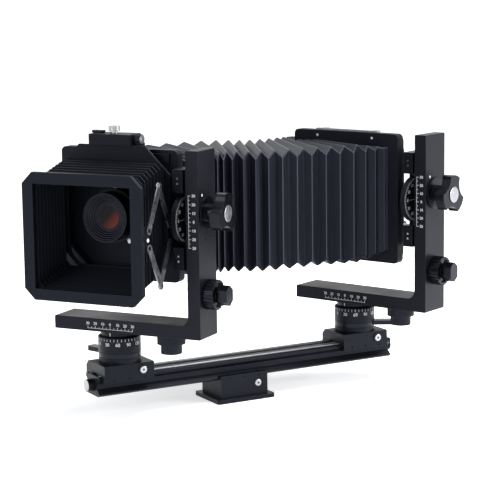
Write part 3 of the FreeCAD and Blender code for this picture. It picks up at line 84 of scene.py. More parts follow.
def new_material(name):
    material = bpy.data.materials.new(name)
    material.use_nodes = True
    tree = material.node_tree
    tree.nodes.clear()
    place = add(tree, "ShaderNodeTexCoord").outputs["Object"]
    return material, tree, add(tree, "ShaderNodeOutputMaterial"), place


def worn_black(name, dye, worn, rough, shine, grit_mm, relief_mm, edge_mm=0.5):
    """A black coat on metal: cloudy dye, blasted grit, and a paler line where the corners rub.

    The clouds are 45 mm across. Real grit is near 0.1 mm; grit_mm draws it far coarser, so that it shows.
    """
    material, tree, out, place = new_material(name)
    cloud = add(tree, "ShaderNodeTexNoise", {"Scale": 1 / 0.045, "Detail": 3.0, "Roughness": 0.55},
                Vector=place)
    grit = add(tree, "ShaderNodeTexNoise", {"Scale": 1000 / grit_mm, "Detail": 2.0}, Vector=place)
    edge = add(tree, "ShaderNodeBevel", {"samples": 3, "Radius": edge_mm / 1000})
    flat = add(tree, "ShaderNodeNewGeometry")
    match = add(tree, "ShaderNodeVectorMath", {"operation": "DOT_PRODUCT"},
                _0=edge.outputs["Normal"], _1=flat.outputs["Normal"])
    rub = add(tree, "ShaderNodeMapRange",
              {"From Min": 0.999, "From Max": 0.86, "To Min": 0.0, "To Max": 0.55},
              Value=match.outputs["Value"])
    tone = add(tree, "ShaderNodeMix", {"data_type": "RGBA", 6: linear(dye), 7: shade(dye, 1.35)},
               _0=cloud.outputs["Fac"])
    coat = add(tree, "ShaderNodeMix", {"data_type": "RGBA", 7: linear(worn)},
               _0=rub.outputs["Result"], _6=tone.outputs[2])
    gloss = add(tree, "ShaderNodeMapRange",
                {"From Min": 0.3, "From Max": 0.7, "To Min": rough - 0.05, "To Max": rough + 0.06},
                Value=cloud.outputs["Fac"])
    bump = add(tree, "ShaderNodeBump", {"Strength": 0.5, "Distance": relief_mm / 1000},
               Height=grit.outputs["Fac"], Normal=edge.outputs["Normal"])
    shader = add(tree, "ShaderNodeBsdfPrincipled",
                 {"Specular IOR Level": shine, "Specular Tint": linear("#c9d0e8")},
                 Base__Color=coat.outputs[2], Roughness=gloss.outputs["Result"],
                 Normal=bump.outputs["Normal"])
    tree.links.new(shader.outputs[0], out.inputs[0])
    return material


anodised = worn_black("black_anodised_aluminium", "#0f1014", "#5a5f6a", 0.38, 0.22, 0.9, 0.012)


def dress(material, *nodes):
    for n in nodes:
        slots = frame["nodes"][n].data.materials
        slots.clear()
        slots.append(material)


dress(anodised, "base_plate", "clamp_body", "clamp_jaw", "rail", "rail_ends", "shutter", "lens_barrel",
      "hood_latch")
for side in ("front", "rear"):
    dress(anodised, *[f"{side}_{n}" for n in ("carriage", "swing_base", "swing_collar", "standard", "carrier",
                                              "tilt_dial")])


# The format frames, the back and the hood's plates are cast and painted in a fine black wrinkle enamel.
# It is duller than the anodised parts, with a tight pebble that breaks up reflections.
enamel = worn_black("black_wrinkle_enamel", "#0e1015", "#434854", 0.44, 0.18, 1.1, 0.03)
dress(enamel, "front_frame", "rear_frame", "camera_back", "screen_frame", "lens_board", "board_slide",
      "hood_plate", "hood_front", "hood_clamp")


# Rods, rack, links, levers and screws are steel: drawn or ground bright, then left bare or nickel plated.
# Fine drawing lines run along the stock, so the highlight is streaked one way.
def bright_metal(name, colour, rough, line_mm, streak, metallic=1.0):
    """Bare or plated steel. Real drawing lines are under 0.1 mm apart; line_mm is coarser, to show."""
    material, tree, out, place = new_material(name)
    aim = add(tree, "ShaderNodeMapping", {"Scale": streak}, Vector=place)
    lines = add(tree, "ShaderNodeTexNoise", {"Scale": 1000 / line_mm, "Detail": 2.0}, Vector=aim.outputs[0])
    haze = add(tree, "ShaderNodeTexNoise", {"Scale": 1 / 0.02, "Detail": 2.0}, Vector=place)
    tone = add(tree, "ShaderNodeMix", {"data_type": "RGBA", 6: shade(colour, 0.82), 7: linear(colour)},
               _0=haze.outputs["Fac"])
    gloss = add(tree, "ShaderNodeMapRange",
                {"From Min": 0.35, "From Max": 0.65, "To Min": rough - 0.06, "To Max": rough + 0.08},
                Value=lines.outputs["Fac"])
    bump = add(tree, "ShaderNodeBump", {"Strength": 0.25, "Distance": 0.00002}, Height=lines.outputs["Fac"])
    shader = add(tree, "ShaderNodeBsdfPrincipled", {"Metallic": metallic}, Base__Color=tone.outputs[2],
                 Roughness=gloss.outputs["Result"], Normal=bump.outputs["Normal"])
    tree.links.new(shader.outputs[0], out.inputs[0])
    return material


steel = bright_metal("brushed_steel", "#aeb0b5", 0.30, 0.6, (1.0, 1.0, 0.12))
nickel = bright_metal("nickel_plate", "#b4b5b6", 0.24, 0.5, (1.0, 1.0, 1.0))
# a painted reflection: the ground rods are near white and mostly not metal, so pale beside the dark rail,
# which a full metal isn't
rod_steel_with_painted_reflection = bright_metal("ground_rod_steel_painted_reflection", "#f3f4f8", 0.30, 0.8, (1.0, 0.05, 1.0), metallic=0.25)
dress(rod_steel_with_painted_reflection, "rail_rods")
dress(steel, "rail_rack", "hood_links_rear_upper", "hood_links_rear_lower", "hood_links_front_upper",
      "hood_links_front_lower", "back_springs", "back_catch", "front_rise_screw", "rear_rise_screw",
      "shutter_levers")
dress(nickel, "hood_thumb_knob")


# Knobs and wings are moulded black phenolic, turned true and buffed on the crowns.
# They are glossier than the metal round them, with faint flow marks from the mould.
phenolic = worn_black("moulded_black_phenolic", "#08090c", "#3a3e47", 0.24, 0.30, 2.5, 0.01, 0.7)
dress(phenolic, "clamp_knob", "hood_side_knob")
for side in ("front", "rear"):
    dress(phenolic, *[f"{side}_{n}" for n in ("focus_knob", "shift_knob", "rise_knob", "rise_wing",
                                              "lock_knob", "swing_lever")])


# The main bellows is one long tube of coated cloth on card ribs, folded in a square accordion.
# Ridges on the sides meet valleys on the top, so each corner closes in small triangles.
# It is glued to the front and rear frames and takes up every movement between them.
def cloth(name, colour, worn, rough, shine):
    """Coated cloth, buckled, its creases paler with wear and a painted highlight. Its grain is drawn at 1.3
    mm, coarser than real.
    """
    material, tree, out, place = new_material(name)
    grain = add(tree, "ShaderNodeTexVoronoi", {"Scale": 1000 / 1.3}, Vector=place)
    buckle = add(tree, "ShaderNodeTexNoise", {"Scale": 1 / 0.018, "Detail": 3.0}, Vector=place)
    tone = add(tree, "ShaderNodeMix", {"data_type": "RGBA", 6: shade(colour, 0.8), 7: shade(colour, 1.25)},
               _0=buckle.outputs["Fac"])
    # the rub attribute gives the paler crease colour: wear, and a painted highlight on the ridges
    fold = add(tree, "ShaderNodeAttribute", {"attribute_name": "rub"})
    face = add(tree, "ShaderNodeMix", {"data_type": "RGBA", 7: linear(worn)},
               _0=fold.outputs["Fac"], _6=tone.outputs[2])
    wave = add(tree, "ShaderNodeBump", {"Strength": 0.6, "Distance": 0.0005}, Height=buckle.outputs["Fac"])
    bump = add(tree, "ShaderNodeBump", {"Strength": 0.4, "Distance": 0.00004},
               Height=grain.outputs["Distance"], Normal=wave.outputs["Normal"])
    shader = add(tree, "ShaderNodeBsdfPrincipled",
                 {"Roughness": rough, "Specular IOR Level": shine, "Specular Tint": linear("#c6cff0"),
                  "Sheen Weight": 0.04, "Sheen Roughness": 0.35, "Sheen Tint": linear("#a9b0cc")},
                 Base__Color=face.outputs[2], Normal=bump.outputs["Normal"])
    tree.links.new(shader.outputs[0], out.inputs[0])
    return material


# its paler crease colour is wear and a painted highlight along the ridges
bellows_cloth = cloth("coated_bellows_cloth", "#15161c", "#4b4e5a", 0.42, 0.22)


def mesh_piece(name, verts, faces, body, material):
    mesh = bpy.data.meshes.new(name)
    mesh.from_pydata([tuple(v) for v in verts], [], [tuple(f) for f in faces])
    mesh.update()
    piece = bpy.data.objects.new(name, mesh)
    bpy.context.collection.objects.link(piece)
    mesh.materials.append(material)
    if body:
        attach(piece, body)
    return piece


LENS_Z = 0.2379
turret = {"front": (-0.1546, math.radians(35.2)), "rear": (0.1749, math.radians(23.2))}


def stand(side, u, v, z):
    """A point of a standard's own axes, u across and v towards the screen, as a point of the row frame."""
    y, yaw = turret[side]
    return Vector((u * math.cos(yaw) - v * math.sin(yaw), y + u * math.sin(yaw) + v * math.cos(yaw), z))


def heading(degrees):
    """The level direction at an angle."""
    return Vector((math.cos(math.radians(degrees)), math.sin(math.radians(degrees)), 0))


PLEATS = 21
BELLOWS_END = 0.0635       # half width where it is glued to a frame
BELLOWS_SIDE, BELLOWS_TOP = 0.0695, 0.0650
SIDE_FOLD, TOP_FOLD = 0.006, 0.007
BELLOWS_SAG = 0.0065
END_PLEATS = 3             # pleats at each end over which it grows to its full size
CORNER_CUT = 0.0012
CLOTH_THICK = 0.0009
front_end, rear_end = stand("front", 0, 0.0218, 0), stand("rear", 0, -0.0198, 0)
# pleat number, place and turn of a fold where the bellows changes direction
stations = [(0, front_end.x, front_end.y, 35.2), (7, -0.052, -0.002, -19.0), (11, -0.030, 0.050, -23.6),
            (15, -0.029, 0.113, -13.0), (18, -0.017, 0.140, 5.0), (PLEATS, rear_end.x, rear_end.y, 23.2)]
slopes = []
for k in range(len(stations)):
    a, b = stations[max(k - 1, 0)], stations[min(k + 1, len(stations) - 1)]
    slopes.append([(q - p) / (b[0] - a[0]) for p, q in zip(a[1:], b[1:])])


def bellows_fold(pleat):
    """Centre and turn of the bellows at a pleat number, on a smooth line through its stations."""
    k = max(i for i in range(len(stations) - 1) if stations[i][0] <= pleat)
    length = stations[k + 1][0] - stations[k][0]
    t = (pleat - stations[k][0]) / length
    ease = t * t * (3 - 2 * t)
    return [p + (q - p) * ease + length * (m * t * (1 - t) ** 2 - n * t * t * (1 - t))
            for p, q, m, n in zip(stations[k][1:], stations[k + 1][1:], slopes[k], slopes[k + 1])]


def folded_ring(centre, across, wide, tall, cut):
    """Twelve points round one fold, with small flats at the corners."""
    half = [(wide, -tall + cut), (wide, 0), (wide, tall - cut),
            (wide - cut, tall), (0, tall), (-wide + cut, tall)]
    return [centre + across * x + Vector((0, 0, z)) for x, z in half + [(-x, -z) for x, z in half]]


def walled(name, outlines, wear_and_highlight_marks, material, thick):
    """A tube of cloth through rings of twelve points, walled inwards; its marks say which points are worn and
    carry a painted highlight.
    """
    verts = [p for outline in outlines for p in outline]
    faces = []
    for i in range(len(outlines) - 1):
        for j in range(12):
            p, q = i * 12 + j, i * 12 + (j + 1) % 12
            faces.append((p, q, q + 12, p + 12))
    piece = mesh_piece(name, verts, faces, None, material)
    # each point's share of the paler crease colour, which is wear and a painted highlight
    worn = piece.data.attributes.new("rub", "FLOAT", "POINT")
    worn.data.foreach_set("value", [v for rub in wear_and_highlight_marks for v in rub])
    wall = piece.modifiers.new("wall", "SOLIDIFY")
    wall.thickness, wall.offset = thick, -1.0
    bpy.context.view_layer.update()
    solid = bpy.data.meshes.new_from_object(piece.evaluated_get(bpy.context.evaluated_depsgraph_get()))
    piece.modifiers.clear()
    piece.data = solid
    return piece


def rubbed(side, top):
    """How worn, and how pale with a painted highlight, each of the twelve points of a fold is: its side
    points, then its top points, all round.
    """
    return ([side] * 3 + [top] * 3) * 2


CREASE = 0.07              # share of a half pleat that a pressed crease is wide, each way
fold_steps = [0.0, CREASE, 0.5, 1 - CREASE]
rings, ring_wear_and_highlight = [], []
for half_pleat in range(2 * PLEATS):
    for part in fold_steps if half_pleat < 2 * PLEATS - 1 else fold_steps + [1.0]:
        pleat = (half_pleat + part) / 2
        x, y, turn = bellows_fold(pleat)
        side = part if half_pleat % 2 == 0 else 1 - part
        side = min(max((side - CREASE) / (1 - 2 * CREASE), 0.0), 1.0)
        full = min(1.0, pleat / END_PLEATS, (PLEATS - pleat) / END_PLEATS)
        wide = BELLOWS_END + (BELLOWS_SIDE - BELLOWS_END + SIDE_FOLD * side) * full
        tall = BELLOWS_END + (BELLOWS_TOP - BELLOWS_END + TOP_FOLD * (1 - side)) * full
        on_fold = part in (0.0, 1.0)
        # pressed ridges get the paler crease colour: wear, and a painted highlight
        ring_wear_and_highlight.append(rubbed(float(on_fold and side == 1), float(on_fold and side == 0)))
        sag = BELLOWS_SAG * (1 - (2 * pleat / PLEATS - 1) ** 4)
        rings.append(folded_ring(Vector((x, y, LENS_Z - sag)), heading(turn), wide, tall, CORNER_CUT))

# One length of it for each joint between the two frames: the two bodies, and the half pleat that it ends at.
chain = [("front_frame", "front_carrier", 5),
         ("front_carrier", "front_standard", 7),
         ("front_standard", "front_swing", 10),
         ("front_swing", "front_carriage", 13),
         ("front_carriage", "rail", 16),
         ("rail", "rear_carriage", 19),
         ("rear_carriage", "rear_swing", 22),
         ("rear_swing", "rear_standard", 25),
         ("rear_standard", "rear_carrier", 28),
         ("rear_carrier", "rear_frame", 2 * PLEATS)]
first = 0
for k, (a, b, last) in enumerate(chain):
    last *= len(fold_steps)
    piece = walled(f"bellows_{k + 1}", rings[first:last + 1], ring_wear_and_highlight[first:last + 1], bellows_cloth,
                   CLOTH_THICK)
    # it works out the level direction that leaves most room between its two end rings, though nothing here
    # uses it
    choices = []
    for degrees in range(60, 123, 3):
        along = heading(degrees)
        low, high = max(p.dot(along) for p in rings[first]), min(p.dot(along) for p in rings[last])
        choices.append((high - low, degrees, low, high))
    degrees, low, high = max(choices)[1:]
    along = heading(degrees)
    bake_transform(piece)
    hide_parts("main_bellows")
    first = last


# The compendium hood is a shorter bellows of matt cloth, glued between its plate and its front frame.
# Its pleats are shallow and tight, and show inside the mouth as well as outside.
HOOD_PLEATS = 9
HOOD_BACK_V, HOOD_MOUTH_V = -0.0082, -0.0743
HOOD_DROP = 0.017          # how much lower the mouth hangs than the back
HOOD_SIDE, HOOD_FOLD = 0.0672, 0.0046
HOOD_CREASE, HOOD_CORNER = 0.1, 0.006
HOOD_THICK = 0.0008
hood_yaw = turret["front"][1]
hood_across = Vector((math.cos(hood_yaw), math.sin(hood_yaw), 0))
hood_outlines, hood_wear_and_highlight = [], []
for half_pleat in range(2 * HOOD_PLEATS):
    parts = (0.0, HOOD_CREASE, 1 - HOOD_CREASE)
    for part in parts if half_pleat < 2 * HOOD_PLEATS - 1 else parts + (1.0,):
        t = (half_pleat + part) / (2 * HOOD_PLEATS)
        swing = part if half_pleat % 2 == 0 else 1 - part
        out = HOOD_SIDE - HOOD_FOLD * min(max((swing - HOOD_CREASE) / (1 - 2 * HOOD_CREASE), 0.0), 1.0)
        # outer ridges get the paler crease colour: wear, and a painted highlight
        worn = 1.0 if swing == 0 else 0.0
        hood_wear_and_highlight.append(rubbed(worn, worn))
        v = HOOD_BACK_V + (HOOD_MOUTH_V - HOOD_BACK_V) * t
        centre = stand("front", 0, v, LENS_Z - HOOD_DROP * t)
        hood_outlines.append(folded_ring(centre, hood_across, out, out - 0.002, HOOD_CORNER))
# its second colour, on the ridges, is wear and a painted highlight
hood_cloth = cloth("matt_hood_cloth", "#0d0e12", "#24262d", 0.55, 0.10)
hood = walled("hood_pleats", hood_outlines[::-1], hood_wear_and_highlight[::-1], hood_cloth, HOOD_THICK)
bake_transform(hood)
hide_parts("hood_bellows")


# Scales are cut into the anodised faces and filled with white enamel, numbers and ticks alike.
# The paint sits a hair below the face and stays dull; here it lies a hair above it.
def white_fill():
    material, tree, out, place = new_material("white_engraving_paint")
    speck = add(tree, "ShaderNodeTexNoise", {"Scale": 1000 / 0.8, "Detail": 2.0}, Vector=place)
    tone = add(tree, "ShaderNodeMix", {"data_type": "RGBA", 6: linear("#dfe1e5"), 7: linear("#f6f7f9")},
               _0=speck.outputs["Fac"])
    shader = add(tree, "ShaderNodeBsdfPrincipled", {"Roughness": 0.55}, Base__Color=tone.outputs[2])
    tree.links.new(shader.outputs[0], out.inputs[0])
    return material


paint = white_fill()


def bar(x0, x1, y0, y1):
    return [(x0, y0), (x1, y0), (x1, y1), (x0, y1)]


def figures(text, height, x, y):
    """Flat bold figures centred on a point, as triangles."""
    curve = bpy.data.curves.new("figures", "FONT")
    curve.body, curve.size = text, 1.0
    curve.align_x, curve.align_y = "CENTER", "CENTER"
    curve.offset = 0.018   # fattens the strokes
    curve.resolution_u = 3
    holder = bpy.data.objects.new("figures", curve)
    bpy.context.collection.objects.link(holder)
    bpy.context.view_layer.update()
    mesh = bpy.data.meshes.new_from_object(holder.evaluated_get(bpy.context.evaluated_depsgraph_get()))
    bpy.data.objects.remove(holder)
    mesh.calc_loop_triangles()
    scale = height / 0.72  # a figure is this share of the type size
    corners = [(p.co.x * scale + x, p.co.y * scale + y) for p in mesh.vertices]
    out = [[corners[i] for i in t.vertices] for t in mesh.loop_triangles]
    bpy.data.meshes.remove(mesh)
    bpy.data.curves.remove(curve)
    return out


def outward(piece, merge=None):
    """Turns every face outwards, after points within the distance merge are joined."""
    mesh = bmesh.new()
    mesh.from_mesh(piece.data)
    if merge:
        bmesh.ops.remove_doubles(mesh, verts=mesh.verts, dist=merge)
    bmesh.ops.recalc_face_normals(mesh, faces=mesh.faces)
    mesh.to_mesh(piece.data)
    mesh.free()


PAINT_PROUD, PAINT_SUNK = 0.00006, 0.0001


def engraving(name, polys, body, lay):
    """Polygons of a flat drawing laid on a face: lay turns a flat point and a height into a row point."""
    verts, faces = [], []
    for poly in polys:
        n, k = len(verts), len(poly)
        verts += [lay(x, y, PAINT_PROUD) for x, y in poly] + [lay(x, y, -PAINT_SUNK) for x, y in poly]
        faces.append(tuple(range(n, n + k)))
        faces.append(tuple(range(n + 2 * k - 1, n + k - 1, -1)))
        faces += [(n + i, n + k + i, n + k + (i + 1) % k, n + (i + 1) % k) for i in range(k)]
    outward(mesh_piece(name, verts, faces, body, paint))


STROKE, LINE = 0.00024, 0.00022        # half widths of a tick and of a base line
SHORT_TICK, LONG_TICK = 0.0019, 0.0030
SCALE_HALF = 0.0305
FIGURE, DIAL_FIGURE = 0.0034, 0.0040   # heights of the figures
ARM_SCALE_Z, UPRIGHT_SCALE_U = 0.1049, 0.1061
SCALE_FACE_V = -0.0215                 # front face of the arm and of the upright
DISC_FACE_U = 0.0925
TILT_RIM, TILT_LINE = 0.0262, 0.0266   # outer ends of the tilt ticks, and the outside of the line round them
DIAL_FACE, DIAL_SCALE_Z = 0.0253, 0.0763
MARK_V, MARK_Z = 0.0221, 0.0968


def on_arc(radius, degrees):
    return radius * math.cos(math.radians(degrees)), radius * math.sin(math.radians(degrees))


for side in ("front", "rear"):
    # shift scale along the arm: a base line, a tick each 5 mm and a figure each 10 mm, all above the line
    polys = [bar(-SCALE_HALF, SCALE_HALF, -LINE, LINE)]
    for mm in range(-30, 31, 5):
        at = mm / 1000
        polys.append(bar(at - STROKE, at + STROKE, 0, LONG_TICK if mm % 10 == 0 else SHORT_TICK))
        if mm % 10 == 0:
            polys += figures(str(abs(mm)), FIGURE, at, 0.0057)
    engraving(f"{side}_shift_scale", polys, f"{side}_standard",
              lambda x, y, lift: stand(side, x, SCALE_FACE_V - lift, ARM_SCALE_Z + y))
    # rise scale up the front of the upright
    polys = [bar(-LINE, LINE, -SCALE_HALF, SCALE_HALF)]
    for mm in range(-30, 31, 5):
        at = mm / 1000
        polys.append(bar(0, LONG_TICK if mm % 10 == 0 else SHORT_TICK, at - STROKE, at + STROKE))
        if mm % 10 == 0:
            polys += figures(str(abs(mm)), FIGURE, 0.0066, at)
    engraving(f"{side}_rise_scale", polys, f"{side}_standard",
              lambda x, y, lift: stand(side, UPRIGHT_SCALE_U + x, SCALE_FACE_V - lift, LENS_Z + y))
    # tilt scale on the disc: ticks each 5 degrees, figures each 30, on the side away from the upright's back
    polys = []
    for deg in range(-80, 81, 5):
        root = 0.0232 if deg % 10 == 0 else 0.0244
        c, s = on_arc(1.0, 180 + deg)
        polys.append([(r * c + w * s, r * s - w * c) for r, w in ((root, STROKE), (TILT_RIM, STROKE),
                                                                  (TILT_RIM, -STROKE), (root, -STROKE))])
        if deg % 30 == 0:
            polys += figures(str(abs(deg)), DIAL_FIGURE, 0.0199 * c, 0.0199 * s)
    polys += [bar(-0.0160, -0.0040, -0.0003, 0.0003), bar(-0.0279, -TILT_LINE, -0.0003, 0.0003)]
    arc = [on_arc(TILT_LINE, d) for d in range(100, 261, 4)]
    inner = [on_arc(TILT_LINE - 0.0005, d) for d in range(100, 261, 4)]
    polys += [[arc[i], arc[i + 1], inner[i + 1], inner[i]] for i in range(len(arc) - 1)]
    engraving(f"{side}_tilt_scale", polys, f"{side}_frame",
              lambda x, y, lift: stand(side, DISC_FACE_U + lift, x, LENS_Z + y))
    # swing scale round the dial ring: figures each 30 degrees, zero towards the front of the rail
    polys, y0 = [], turret[side][0]
    for deg in range(-180, 180, 10):
        x = math.radians(deg) * DIAL_FACE
        polys.append(bar(x - STROKE, x + STROKE, 0.0146, 0.0176))
        if deg % 30 == 0:
            polys += figures(str(abs(deg)), DIAL_FIGURE, x, 0.0108)
    engraving(f"{side}_swing_scale", polys, f"{side}_carriage",
              lambda x, y, lift: Vector(((DIAL_FACE + lift) * math.sin(x / DIAL_FACE),
                                         y0 - (DIAL_FACE + lift) * math.cos(x / DIAL_FACE),
                                         DIAL_SCALE_Z + y)))
    # pointer on the turning collar
    engraving(f"{side}_swing_mark", [bar(-0.0004, 0.0004, 0.0004, 0.0042)], f"{side}_swing",
              lambda x, y, lift: stand(side, x, -(MARK_V + lift), MARK_Z + y))


# Bright caps and badges: turned steel discs with a step and a rounded rim from the lathe.
# They close the pinion shafts, the clamp bolt, the rail's ends and the lock knobs.
def cap_disc(name, centre, normal, radius, body, material=nickel):
    """A low turned disc on a face; centre is a point of the face, and normal points out of it."""
    normal = Vector(normal).normalized()
    side_way = normal.orthogonal().normalized()
    up = normal.cross(side_way)
    profile = [(0.0, 0.0004), (radius * 0.45, 0.00042), (radius * 0.5, 0.0003), (radius * 0.86, 0.0003),
               (radius * 0.95, 0.00018), (radius, 0.0), (radius, -0.0004)]
    verts, faces, n = [], [], 40
    for r, h in profile:
        for i in range(n):
            a = 2 * math.pi * i / n
            verts.append(Vector(centre) + (side_way * math.cos(a) + up * math.sin(a)) * r + normal * h)
    for k in range(len(profile) - 1):
        for i in range(n):
            faces.append((k * n + i, (k + 1) * n + i, (k + 1) * n + (i + 1) % n, k * n + (i + 1) % n))
    faces.append(tuple(range((len(profile) - 1) * n, len(profile) * n))[::-1])
    outward(mesh_piece(name, verts, faces, body, material), merge=1e-7)


PINION_Y, PINION_Z = 0.0178, 0.0556    # the pinion shaft, from the turret's middle and in height
CLAMP_BOLT_Y, CLAMP_BOLT_Z = 0.0186, 0.0196
RAIL_MID_Z = 0.0387
UPRIGHT_FACE_U = 0.1189
LOCK_FACE_U, LOCK_Z = 0.1462, LENS_Z + 0.009
for side in ("front", "rear"):
    lo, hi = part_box(f"{side}_focus_knob")
    cap_disc(f"{side}_pinion_cap", (hi[0], turret[side][0] + PINION_Y, PINION_Z), (1, 0, 0), 0.0043,
             f"{side}_focus_knob")
    yaw = turret[side][1]
    out = (math.cos(yaw), math.sin(yaw), 0)
    cap_disc(f"{side}_lock_badge", stand(side, LOCK_FACE_U, 0, LOCK_Z), out, 0.0096, f"{side}_lock_knob",
             steel)
    # a plain white head on each upright
    cap_disc(f"{side}_upright_screw", stand(side, UPRIGHT_FACE_U, -0.012, LENS_Z + 0.030), out, 0.0017,
             f"{side}_standard", paint)
lo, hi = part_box("clamp_body")
cap_disc("clamp_screw", (hi[0], CLAMP_BOLT_Y, CLAMP_BOLT_Z), (1, 0, 0), 0.0042, "tripod_clamp")
lo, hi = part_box("rail_ends")
cap_disc("rail_screw_front", (0, lo[1], RAIL_MID_Z), (0, -1, 0), 0.0070, "rail")
cap_disc("rail_screw_rear", (0, hi[1], RAIL_MID_Z), (0, 1, 0), 0.0070, "rail")


# Small screws, rivets and pins: turned heads that stand a hair proud of the castings they hold.
# The carriers' and the links' are nickel plated, the uprights' black, and the frames' plain white.
def screw_heads_tree():
    """Stands a turned head on every point, along the direction stored with the point."""
    tree = bpy.data.node_groups.new("screw_heads", "GeometryNodeTree")
    sockets = {}
    for label, kind in (("Points", "Geometry"), ("Head Radius", "Float"), ("Head Height", "Float"),
                        ("Steel", "Material")):
        socket = tree.interface.new_socket(label, in_out="INPUT", socket_type="NodeSocket" + kind)
        sockets[label] = socket.identifier
    tree.interface.new_socket("Heads", in_out="OUTPUT", socket_type="NodeSocketGeometry")
    given, result = add(tree, "NodeGroupInput"), add(tree, "NodeGroupOutput")
    head = add(tree, "GeometryNodeMeshCylinder", {"Vertices": 20}, Radius=given.outputs["Head Radius"],
               Depth=given.outputs["Head Height"])
    way = add(tree, "GeometryNodeInputNamedAttribute", {"data_type": "FLOAT_VECTOR", "Name": "way"})
    turned = add(tree, "FunctionNodeAlignRotationToVector", {"axis": "Z"}, Vector=way.outputs["Attribute"])
    stood = add(tree, "GeometryNodeInstanceOnPoints", None, Points=given.outputs["Points"],
                Instance=head.outputs["Mesh"], Rotation=turned.outputs["Rotation"])
    real = add(tree, "GeometryNodeRealizeInstances", None, Geometry=stood.outputs[0])
    coated = add(tree, "GeometryNodeSetMaterial", None, Geometry=real.outputs[0],
                 Material=given.outputs["Steel"])
    tree.links.new(coated.outputs[0], result.inputs[0])
    return tree, sockets


heads_tree, heads_sockets = screw_heads_tree()


def screws(name, spots, way, radius, proud, body, material):
    """One plain mesh of screw heads for one body; spots are points on the face that the heads stand on."""
    mesh = bpy.data.meshes.new(name)
    mesh.from_pydata([tuple(p) for p in spots], [], [])
    mesh.attributes.new("way", "FLOAT_VECTOR", "POINT").data.foreach_set("vector", list(way) * len(spots))
    holder = bpy.data.objects.new(name + "_points", mesh)
    bpy.context.collection.objects.link(holder)
    heads = holder.modifiers.new("heads", "NODES")
    heads.node_group = heads_tree
    for label, value in (("Head Radius", radius), ("Head Height", proud * 2), ("Steel", material)):
        heads[heads_sockets[label]] = value
    bpy.context.view_layer.update()
    built = bpy.data.meshes.new_from_object(holder.evaluated_get(bpy.context.evaluated_depsgraph_get()))
    bpy.data.objects.remove(holder)
    mesh_piece(name, [v.co.copy() for v in built.vertices], [tuple(f.vertices) for f in built.polygons], body,
               material)


def socket_in(name, centre, way, body):
    """A dark disc in the middle of a bright cap: painted shade for the driver socket's recess."""
    lifted = Vector(centre) + Vector(way) * 0.0004
    screws(name, [lifted], way, 0.0013, 0.0001, body, phenolic)


# dark discs: painted shade in the sockets of the pinion caps and the clamp bolt
for side in ("front", "rear"):
    lo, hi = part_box(f"{side}_focus_knob")
    socket_in(f"{side}_pinion_socket_shade", (hi[0], turret[side][0] + PINION_Y, PINION_Z), (1, 0, 0),
              f"{side}_focus_knob")
lo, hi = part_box("clamp_body")
socket_in("clamp_socket_shade", (hi[0], CLAMP_BOLT_Y, CLAMP_BOLT_Z), (1, 0, 0), "tripod_clamp")


def reach(side, node):
    """Lowest and highest u, v and z of a node in its standard's own directions."""
    y0, yaw = turret[side]
    spots = []
    for p in frame["nodes"][node].data.vertices:
        x, y = p.co.x, p.co.y - y0
        spots.append((x * math.cos(yaw) + y * math.sin(yaw), y * math.cos(yaw) - x * math.sin(yaw), p.co.z))
    return [min(c) for c in zip(*spots)], [max(c) for c in zip(*spots)]


body_of_node = {n: b for b, nodes in frame["record"]["behaviour"]["bodies"].items() for n in nodes}
SCREW, RIVET, RIM_PIN, LINK_PIN = 0.0013, 0.0016, 0.0022, 0.0019       # head radii
PROUD = 0.0004
LINK_END = 0.0043          # from the end of a link to the middle of its pin
for side in ("front", "rear"):
    yaw = turret[side][1]
    u_way, v_way = (math.cos(yaw), math.sin(yaw), 0), (math.sin(yaw), -math.cos(yaw), 0)
    lo, hi = reach(side, f"{side}_carrier")
    spots = [stand(side, 0.0880, lo[1], LENS_Z + z) for z in (-0.048, -0.042, 0.042, 0.048)]
    screws(f"{side}_carrier_screws", spots, v_way, SCREW, PROUD, f"{side}_carrier", nickel)
    lo, hi = reach(side, f"{side}_standard")
    spots = [stand(side, hi[0], v, LENS_Z - 0.021 + 0.2 * v) for v in (-0.0055, 0.0075)]
    screws(f"{side}_upright_screws", spots, u_way, SCREW, 0.0003, f"{side}_standard", phenolic)
    lo, hi = reach(side, f"{side}_frame")
    spots = [stand(side, u, lo[1], hi[2] - 0.0062) for u in (-0.042, 0.040)]
    screws(f"{side}_frame_rivets", spots, v_way, RIVET, PROUD, f"{side}_frame", paint)
    if side == "front":
        lo, hi = reach(side, "hood_front")
        spot = stand(side, hi[0], (lo[1] + hi[1]) / 2, (lo[2] + hi[2]) / 2 + 0.002)
        screws("hood_rim_pin", [spot], u_way, RIM_PIN, PROUD, "hood_front", paint)
        for node in ("hood_links_rear_upper", "hood_links_rear_lower"):
            lo, hi = reach(side, node)
            height = hi[2] - LINK_END if node.endswith("upper") else lo[2] + LINK_END
            screws(node + "_pin", [stand(side, hi[0], lo[1] + LINK_END, height)], u_way, LINK_PIN, PROUD,
                   body_of_node[node], nickel)
        lo, hi = reach(side, "hood_side_knob")
        cap_disc("hood_side_knob_face", stand(side, hi[0], (lo[1] + hi[1]) / 2, (lo[2] + hi[2]) / 2), u_way,
                 (hi[2] - lo[2]) * 0.40, body_of_node["hood_side_knob"], steel)


